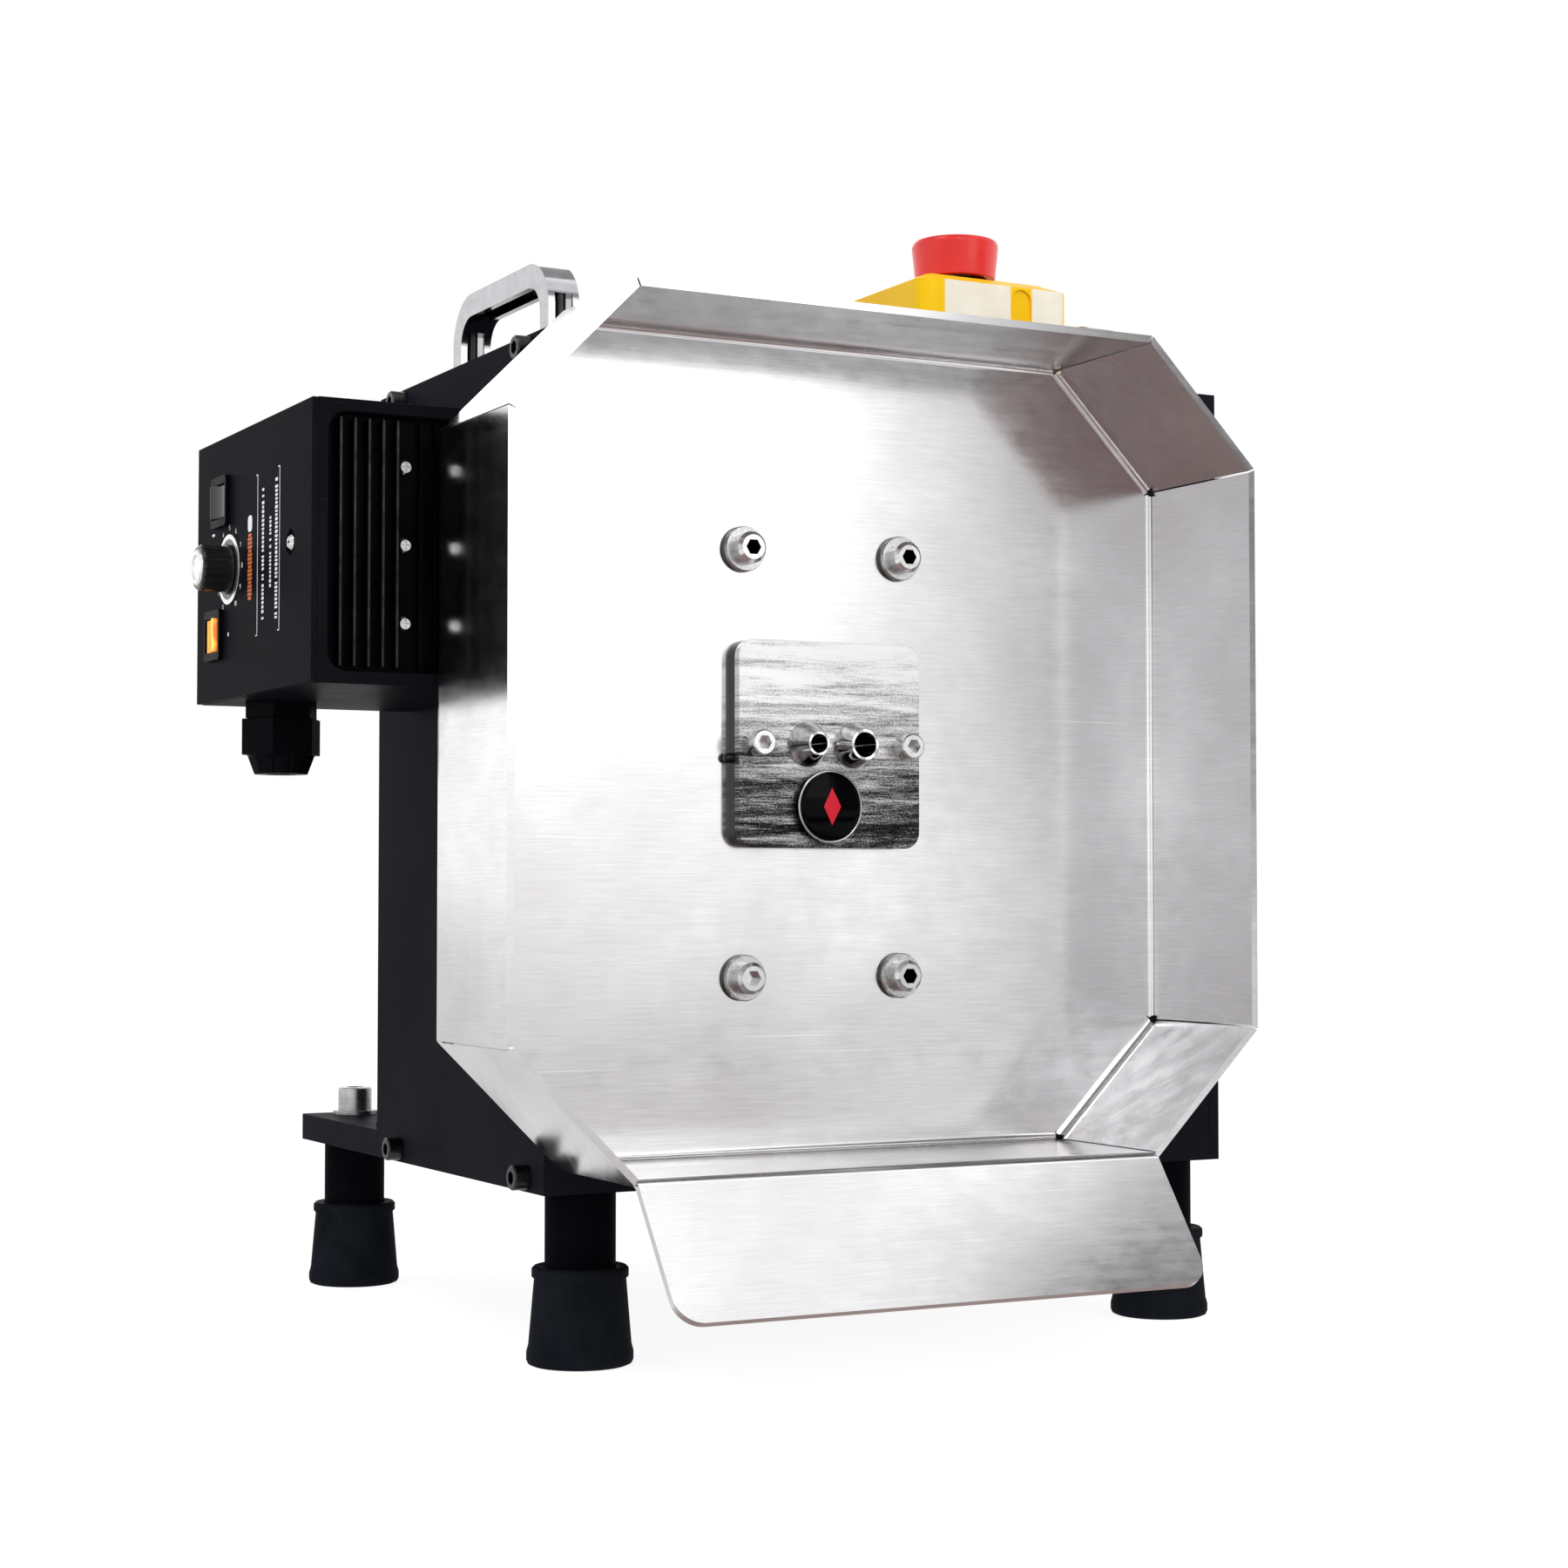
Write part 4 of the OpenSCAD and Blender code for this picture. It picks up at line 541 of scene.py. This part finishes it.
def fillet(points, radius, steps=5):
    """Rounds each inner corner of an open line of 2-D points with a short arc."""
    line = [Vector(points[0])]
    for before, corner, after in zip(points, points[1:], points[2:]):
        corner, back, ahead = Vector(corner), Vector(before) - Vector(corner), Vector(after) - Vector(corner)
        reach = min(radius, back.length * 0.45, ahead.length * 0.45)
        start, end = corner + back.normalized() * reach, corner + ahead.normalized() * reach
        for i in range(steps + 1):
            t = i / steps
            line.append(start * (1 - t) ** 2 + corner * 2 * t * (1 - t) + end * t ** 2)
    return line + [Vector(points[-1])]


def lathe(name, profile, centre, toward, segments=96):
    """Turns (radius, height) points in millimetres round the axis through centre, heights along toward."""
    shape = bmesh.new()
    turn = Vector((0, 0, 1)).rotation_difference(Vector(toward)).to_matrix().to_4x4()
    place = Matrix.Translation(centre) @ turn
    rings = []
    for radius, height in profile:
        count = 1 if radius < 1e-6 else segments
        ring = []
        for i in range(count):
            angle = math.tau * i / segments
            spot = Vector((radius * math.cos(angle), radius * math.sin(angle), height)) * MM
            ring.append(shape.verts.new(place @ spot))
        rings.append(ring)
    for low, high in zip(rings, rings[1:]):
        for i in range(segments):
            k = (i + 1) % segments
            corners = [low[i % len(low)], low[k % len(low)], high[k % len(high)], high[i % len(high)]]
            unique = list(dict.fromkeys(corners))
            if len(unique) > 2:
                shape.faces.new(unique)
    mesh = from_bmesh(name, shape)
    mesh.shade_smooth()
    return mesh


def make_mushroom():
    """The red mushroom: a flared skirt with a soft rim and a slightly dished crown."""
    low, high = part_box("stop_mushroom")
    centre = middle("stop_mushroom")
    radius, tall = (high.x - low.x) / 2 / MM, (high.z - low.z) / MM
    socket = (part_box("stop_plunger")[1].z - low.z) / MM + 0.1
    stem = 7.6
    inside = radius - 5.5
    outer = fillet([(stem, 8), (inside, 8), (inside, 0), (radius - 1.6, 0), (radius - 1.5, 0.3),
                    (radius, tall - 2.4), (radius - 0.9, tall - 0.35), (radius - 5, tall), (12, tall - 0.5),
                    (0, tall - 0.8)], 1.3)
    hollow = [(0, socket), (stem, socket), (stem, 8)]
    mesh = lathe("mushroom", [*hollow, *outer[1:]], (centre.x, centre.y, low.z), (0, 0, 1), 128)
    piece = new_piece("mushroom", mesh, RED, "stop_button")
    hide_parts("stop_mushroom")


def make_return_spring():
    """The stop button's return spring, a copy of the CAD spring with its own mesh on the chassis."""
    mesh = nodes["stop_spring"].data.copy()
    mesh.name = "return_spring"
    mesh.shade_smooth()
    spring = new_piece("return_spring", mesh, GROUND, "chassis")
    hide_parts("stop_spring")
    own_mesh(spring)


def dome_height(distance, radius, edge, crown):
    """Height of a shallow dome over the point at that distance from its middle."""
    return edge + (crown - edge) * (1 - (distance / radius) ** 2)


def make_die_cap():
    """The glossy domed cap under the nozzles, with a plain red lozenge on it."""
    low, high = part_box("die_cap")
    centre = Vector((middle("die_cap").x, high.y, middle("die_cap").z))
    radius, crown = (high.x - low.x) / 2 / MM, (high.y - low.y) / MM
    edge = crown - 1.6
    dome = [(r, dome_height(r, radius, edge, crown)) for r in (13.6, 12, 10, 8, 6, 4, 2, 0)]
    rim = fillet([(0, 0), (radius, 0), (radius, edge - 0.3), (13.6, dome[0][1])], 1.0)
    mesh = lathe("cap_dome", [*rim[:-1], *dome], centre, (0, -1, 0))
    piece = new_piece("cap_dome", mesh, CAP, "chassis")
    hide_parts("die_cap")
    ring = [(radius - 0.25, edge - 0.5), (radius + 0.15, edge - 0.45), (radius + 0.30, edge - 0.1),
            (radius + 0.05, edge + 0.15), (radius - 0.55, edge + 0.25), (radius - 0.6, edge - 0.2)]
    rim_mesh = lathe("cap_rim", [*ring, ring[0]], centre, (0, -1, 0))
    new_piece("cap_rim", rim_mesh, CHROME, "chassis")
    half_w, half_h, lift, steps = 4.0, 7.6, 0.12, 12
    shape = bmesh.new()
    rows = []
    for i in range(steps + 1):
        up = half_h * (2 * i / steps - 1)
        wide = half_w * (1 - abs(up) / half_h) + 0.02
        row = []
        for j in range(-3, 4):
            across = wide * j / 3
            proud = dome_height(math.hypot(across, up), radius, edge, crown) + lift
            row.append(shape.verts.new(centre + Vector((across, -proud, up)) * MM))
        rows.append(row)
    for lower, upper in zip(rows, rows[1:]):
        for j in range(6):
            shape.faces.new((lower[j], lower[j + 1], upper[j + 1], upper[j]))
    lozenge = new_piece("cap_lozenge", from_bmesh("cap_lozenge", shape), EMBLEM, "chassis")
    thick = lozenge.modifiers.new("thick", "SOLIDIFY")
    thick.thickness = 0.3 * MM
    thick.offset = 0


def make_knob_cap():
    """The knob's silver end: a bright ring round a shallow dished disc."""
    low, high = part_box("knob_cap")
    radius, tall = (high.z - low.z) / 2 / MM, (high.x - low.x) / MM
    profile = fillet([(0, 0), (radius, 0), (radius, tall - 0.5), (radius - 0.8, tall), (radius - 2.2, tall),
                      (radius - 2.8, tall - 0.5), (3, tall - 0.6), (0, tall - 0.5)], 0.5)
    centre = (high.x, middle("knob_cap").y, middle("knob_cap").z)
    mesh = lathe("knob_disc", profile, centre, (-1, 0, 0))
    piece = new_piece("knob_disc", mesh, DIAL, "speed_dial")
    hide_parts("knob_cap")


def face_spot(back, up):
    """A point on the control face, that many mm back from its front edge and up from its bottom."""
    return Vector((face_low.x, face_low.y - 0.2 * MM + back * MM, face_low.z - 0.2 * MM + up * MM))


def make_prints(name, material, patches):
    """Prints thin rounded bars on the control face. Each patch is (back, up, width, height) in mm."""
    proud = 0.08
    shape = bmesh.new()
    for back, up, width, height in patches:
        corner = min(width, height) * 0.3
        outline = []
        for sy, sz, start in ((1, 1, 0), (-1, 1, 90), (-1, -1, 180), (1, -1, 270)):
            for turn in (0, 45, 90):
                angle = math.radians(start + turn)
                outline.append((sy * (width / 2 - corner) + corner * math.cos(angle),
                                sz * (height / 2 - corner) + corner * math.sin(angle)))
        top = [shape.verts.new(face_spot(back + y, up + z) - Vector((proud * MM, 0, 0))) for y, z in outline]
        base = [shape.verts.new(face_spot(back + y, up + z) + Vector((proud * MM, 0, 0))) for y, z in outline]
        shape.faces.new(top)
        shape.faces.new(list(reversed(base)))
        for i in range(len(outline)):
            k = (i + 1) % len(outline)
            shape.faces.new((top[k], top[i], base[i], base[k]))
    return new_piece(name, from_bmesh(name, shape), material, "chassis")


def row_of_dashes(back, low, high, tall, seed):
    """A row of small blocks of uneven length up the face, like an unreadable line of print."""
    draw = random.Random(seed)
    dashes = []
    up = low
    while up < high - 1:
        length = draw.choice((0.9, 1.1, 1.3))
        dashes.append((back, up + length / 2, tall * draw.uniform(0.75, 1.0), length))
        up += length + (1.6 if draw.random() < 0.16 else 0.55)
    return dashes


def make_face_prints():
    white = [(67, 55.5, 0.45, 65), (39, 55.5, 0.45, 65), (105.5, 26.7, 1.6, 1.6), (127, 70, 3.6, 1.0)]
    for back, low_up in ((68, 23.2), (68, 87.8), (40, 23.2), (40, 87.8)):
        white.append((back, low_up, 2.0, 0.45))
    white += row_of_dashes(60, 29, 82, 3.0, 3) + row_of_dashes(50.5, 41, 70, 2.4, 5)
    white += row_of_dashes(43, 28, 84, 3.4, 8)
    make_prints("white_prints", WHITE, white)
    make_prints("pale_tab", WHITE, [(77, 69.3, 5.4, 6.6)])
    bars = [(77, 39 + i * 1.6, 5.6 if i % 4 else 4.2, 1.25) for i in range(17)]
    orange = make_prints("orange_tab", ORANGE, bars)


def make_dial_marks():
    """The numbers 0 to 10 round the speed dial."""
    centre = middle("dial_plate")
    first, sweep, ring = -150, 300, 17.2
    upright = Matrix.Rotation(math.radians(-90), 4, "Z") @ Matrix.Rotation(math.radians(90), 4, "X")
    for i in range(11):
        angle = math.radians(first + sweep * i / 10)
        digits = bpy.data.curves.new(f"number_{i}", "FONT")
        digits.body = str(i)
        digits.size = 3.0 * MM
        digits.extrude = 0.06 * MM
        digits.align_x = "CENTER"
        digits.align_y = "CENTER"
        spot = Vector((face_low.x - 0.04 * MM, centre.y - math.sin(angle) * ring * MM,
                       centre.z + math.cos(angle) * ring * MM))
        number = bpy.data.objects.new(f"dial_number_{i}", digits)
        number.matrix_world = Matrix.Translation(spot) @ upright
        bpy.context.scene.collection.objects.link(number)
        digits.materials.append(WHITE)
        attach(number, "chassis")


make_mushroom()
make_return_spring()
make_die_cap()
make_knob_cap()
make_face_prints()
make_dial_marks()


# ---- Camera, floor and light ----

def make_camera():
    data = bpy.data.cameras.new("camera")
    data.sensor_width = 36
    data.lens = 64.64
    data.clip_start, data.clip_end = 0.05, 50
    camera = bpy.data.objects.new("camera", data)
    camera.location = (AXIS_X - 0.5649, PANEL_Y - 1.0208, 0.1884)
    camera.rotation_euler = (math.radians(92.2), 0, math.radians(-28.2))
    bpy.context.scene.collection.objects.link(camera)
    bpy.context.scene.camera = camera


def make_floor():
    """White to the camera. In reflections it is pale, with a brown mat and a dark strip in front."""
    shape = bmesh.new()
    bmesh.ops.create_grid(shape, x_segments=2, y_segments=2, size=30)
    floor = bpy.data.objects.new("floor", from_bmesh("floor", shape))
    s = Shader("floor_white", Roughness=0.9, Specular_IOR_Level=0.0)
    where = s.place()
    s.to("Base Color", s.ramp(s.noise(where, 3, 4), (0.3, rgb(0.22)), (0.7, rgb(0.24))))
    across, forward, _ = s.add("ShaderNodeSeparateXYZ", {0: where}).outputs
    strip = s.maths("MULTIPLY", s.span(forward, STRIP_FRONT, STRIP_FRONT - 0.15),
                    s.span(forward, STRIP_FRONT - 1.1, STRIP_FRONT - 0.9))
    mat = s.maths("MULTIPLY", s.span(forward, -0.10, -0.20), s.span(forward, -0.95, -0.80))
    mat = s.maths("MULTIPLY", mat, s.span(s.maths("ABSOLUTE", across), 0.42, 0.32))
    seen = s.add("ShaderNodeLightPath").outputs["Is Camera Ray"]
    pale = s.mix(s.span(forward, -0.5, 0.1), rgb(1.30), rgb(0.85))
    colour = s.mix(strip, s.mix(mat, pale, rgb(0.37, 0.27, 0.255)), rgb(0.02))
    table = s.add("ShaderNodeEmission", {"Color": colour, "Strength": 1.0})
    white = s.add("ShaderNodeEmission", {"Color": rgb(1.0), "Strength": 0.90})
    lit = s.add("ShaderNodeAddShader", {0: s.surface.outputs[0], 1: white.outputs[0]})
    both = s.add("ShaderNodeMixShader", {0: seen, 1: table.outputs[0], 2: lit.outputs[0]})
    s.tree.links.new(both.outputs[0], s.tree.nodes["Material Output"].inputs["Surface"])
    floor.data.materials.append(s.material)
    bpy.context.scene.collection.objects.link(floor)


def make_light(name, place, aim, size, watts):
    data = bpy.data.lights.new(name, "AREA")
    data.shape = "RECTANGLE"
    data.size, data.size_y = size
    data.energy = watts
    light = bpy.data.objects.new(name, data)
    light.location = place
    light.rotation_euler = (Vector(aim) - Vector(place)).to_track_quat("-Z", "Y").to_euler()
    bpy.context.scene.collection.objects.link(light)


def make_world():
    """White to the camera. Other rays see a studio that is dimmer above and to the front right."""
    world = bpy.data.worlds.new("studio")
    bpy.context.scene.world = world
    world.use_nodes = True
    tree = world.node_tree
    links = tree.links.new
    white = tree.nodes["Background"]
    white.inputs["Color"].default_value = rgb(1.0)
    white.inputs["Strength"].default_value = 1.0
    studio = tree.nodes.new("ShaderNodeBackground")
    where = tree.nodes.new("ShaderNodeTexCoord")
    height = tree.nodes.new("ShaderNodeSeparateXYZ")
    walls = tree.nodes.new("ShaderNodeValToRGB")
    seen = tree.nodes.new("ShaderNodeLightPath")
    both = tree.nodes.new("ShaderNodeMixShader")
    stops = walls.color_ramp.elements
    for position, grey in ((0.34, 0.80), (0.66, 0.40)):
        stops.new(position).color = rgb(grey)
    stops[0].color = rgb(1.0)
    stops[len(stops) - 1].color = rgb(0.36)
    links(where.outputs["Generated"], height.inputs[0])
    links(height.outputs[2], walls.inputs["Fac"])
    bearing = tree.nodes.new("ShaderNodeMath")
    bearing.operation = "ARCTAN2"
    links(height.outputs[0], bearing.inputs[0])
    minus_y = tree.nodes.new("ShaderNodeMath")
    minus_y.operation = "MULTIPLY"
    minus_y.inputs[1].default_value = -1.0
    links(height.outputs[1], minus_y.inputs[0])
    links(minus_y.outputs[0], bearing.inputs[1])
    flag = tree.nodes.new("ShaderNodeValToRGB")
    turn = tree.nodes.new("ShaderNodeMapRange")
    turn.inputs["From Min"].default_value = -math.pi
    turn.inputs["From Max"].default_value = math.pi
    links(bearing.outputs[0], turn.inputs["Value"])
    links(turn.outputs[0], flag.inputs["Fac"])
    marks = flag.color_ramp.elements
    for degrees, share in STUDIO_SHARES[1:-1]:
        marks.new((degrees + 180) / 360).color = rgb(share)
    marks[0].color = rgb(STUDIO_SHARES[0][1])
    marks[len(marks) - 1].color = rgb(STUDIO_SHARES[-1][1])
    shaded = tree.nodes.new("ShaderNodeMix")
    shaded.data_type = "RGBA"
    shaded.blend_type = "MULTIPLY"
    shaded.inputs[0].default_value = 1.0
    links(walls.outputs["Color"], shaded.inputs[6])
    links(flag.outputs["Color"], shaded.inputs[7])
    links(shaded.outputs[2], studio.inputs["Color"])
    studio.inputs["Strength"].default_value = 1.5
    links(seen.outputs["Is Camera Ray"], both.inputs[0])
    links(studio.outputs[0], both.inputs[1])
    links(white.outputs[0], both.inputs[2])
    links(both.outputs[0], tree.nodes["World Output"].inputs["Surface"])


make_camera()
make_floor()
make_world()
make_light("key", (0.85, -2.7, 1.35), (0.0, -0.1, 0.3), (1.1, 1.6), 9)
make_light("above", (1.1, -0.9, 2.5), (0.0, -0.1, 0.2), (1.3, 1.3), 7)
make_light("left", (-1.5, -0.4, 2.2), (-0.1, 0.0, 0.3), (0.7, 0.7), 12)
make_light("back", (0.6, 2.4, 1.8), (0.0, 0.1, 0.25), (2.0, 1.4), 10)
make_light("front", (-0.5, -2.0, 1.9), (0.1, 0.0, 0.4), (0.5, 0.5), 9)
bpy.context.scene.view_settings.view_transform = "Standard"
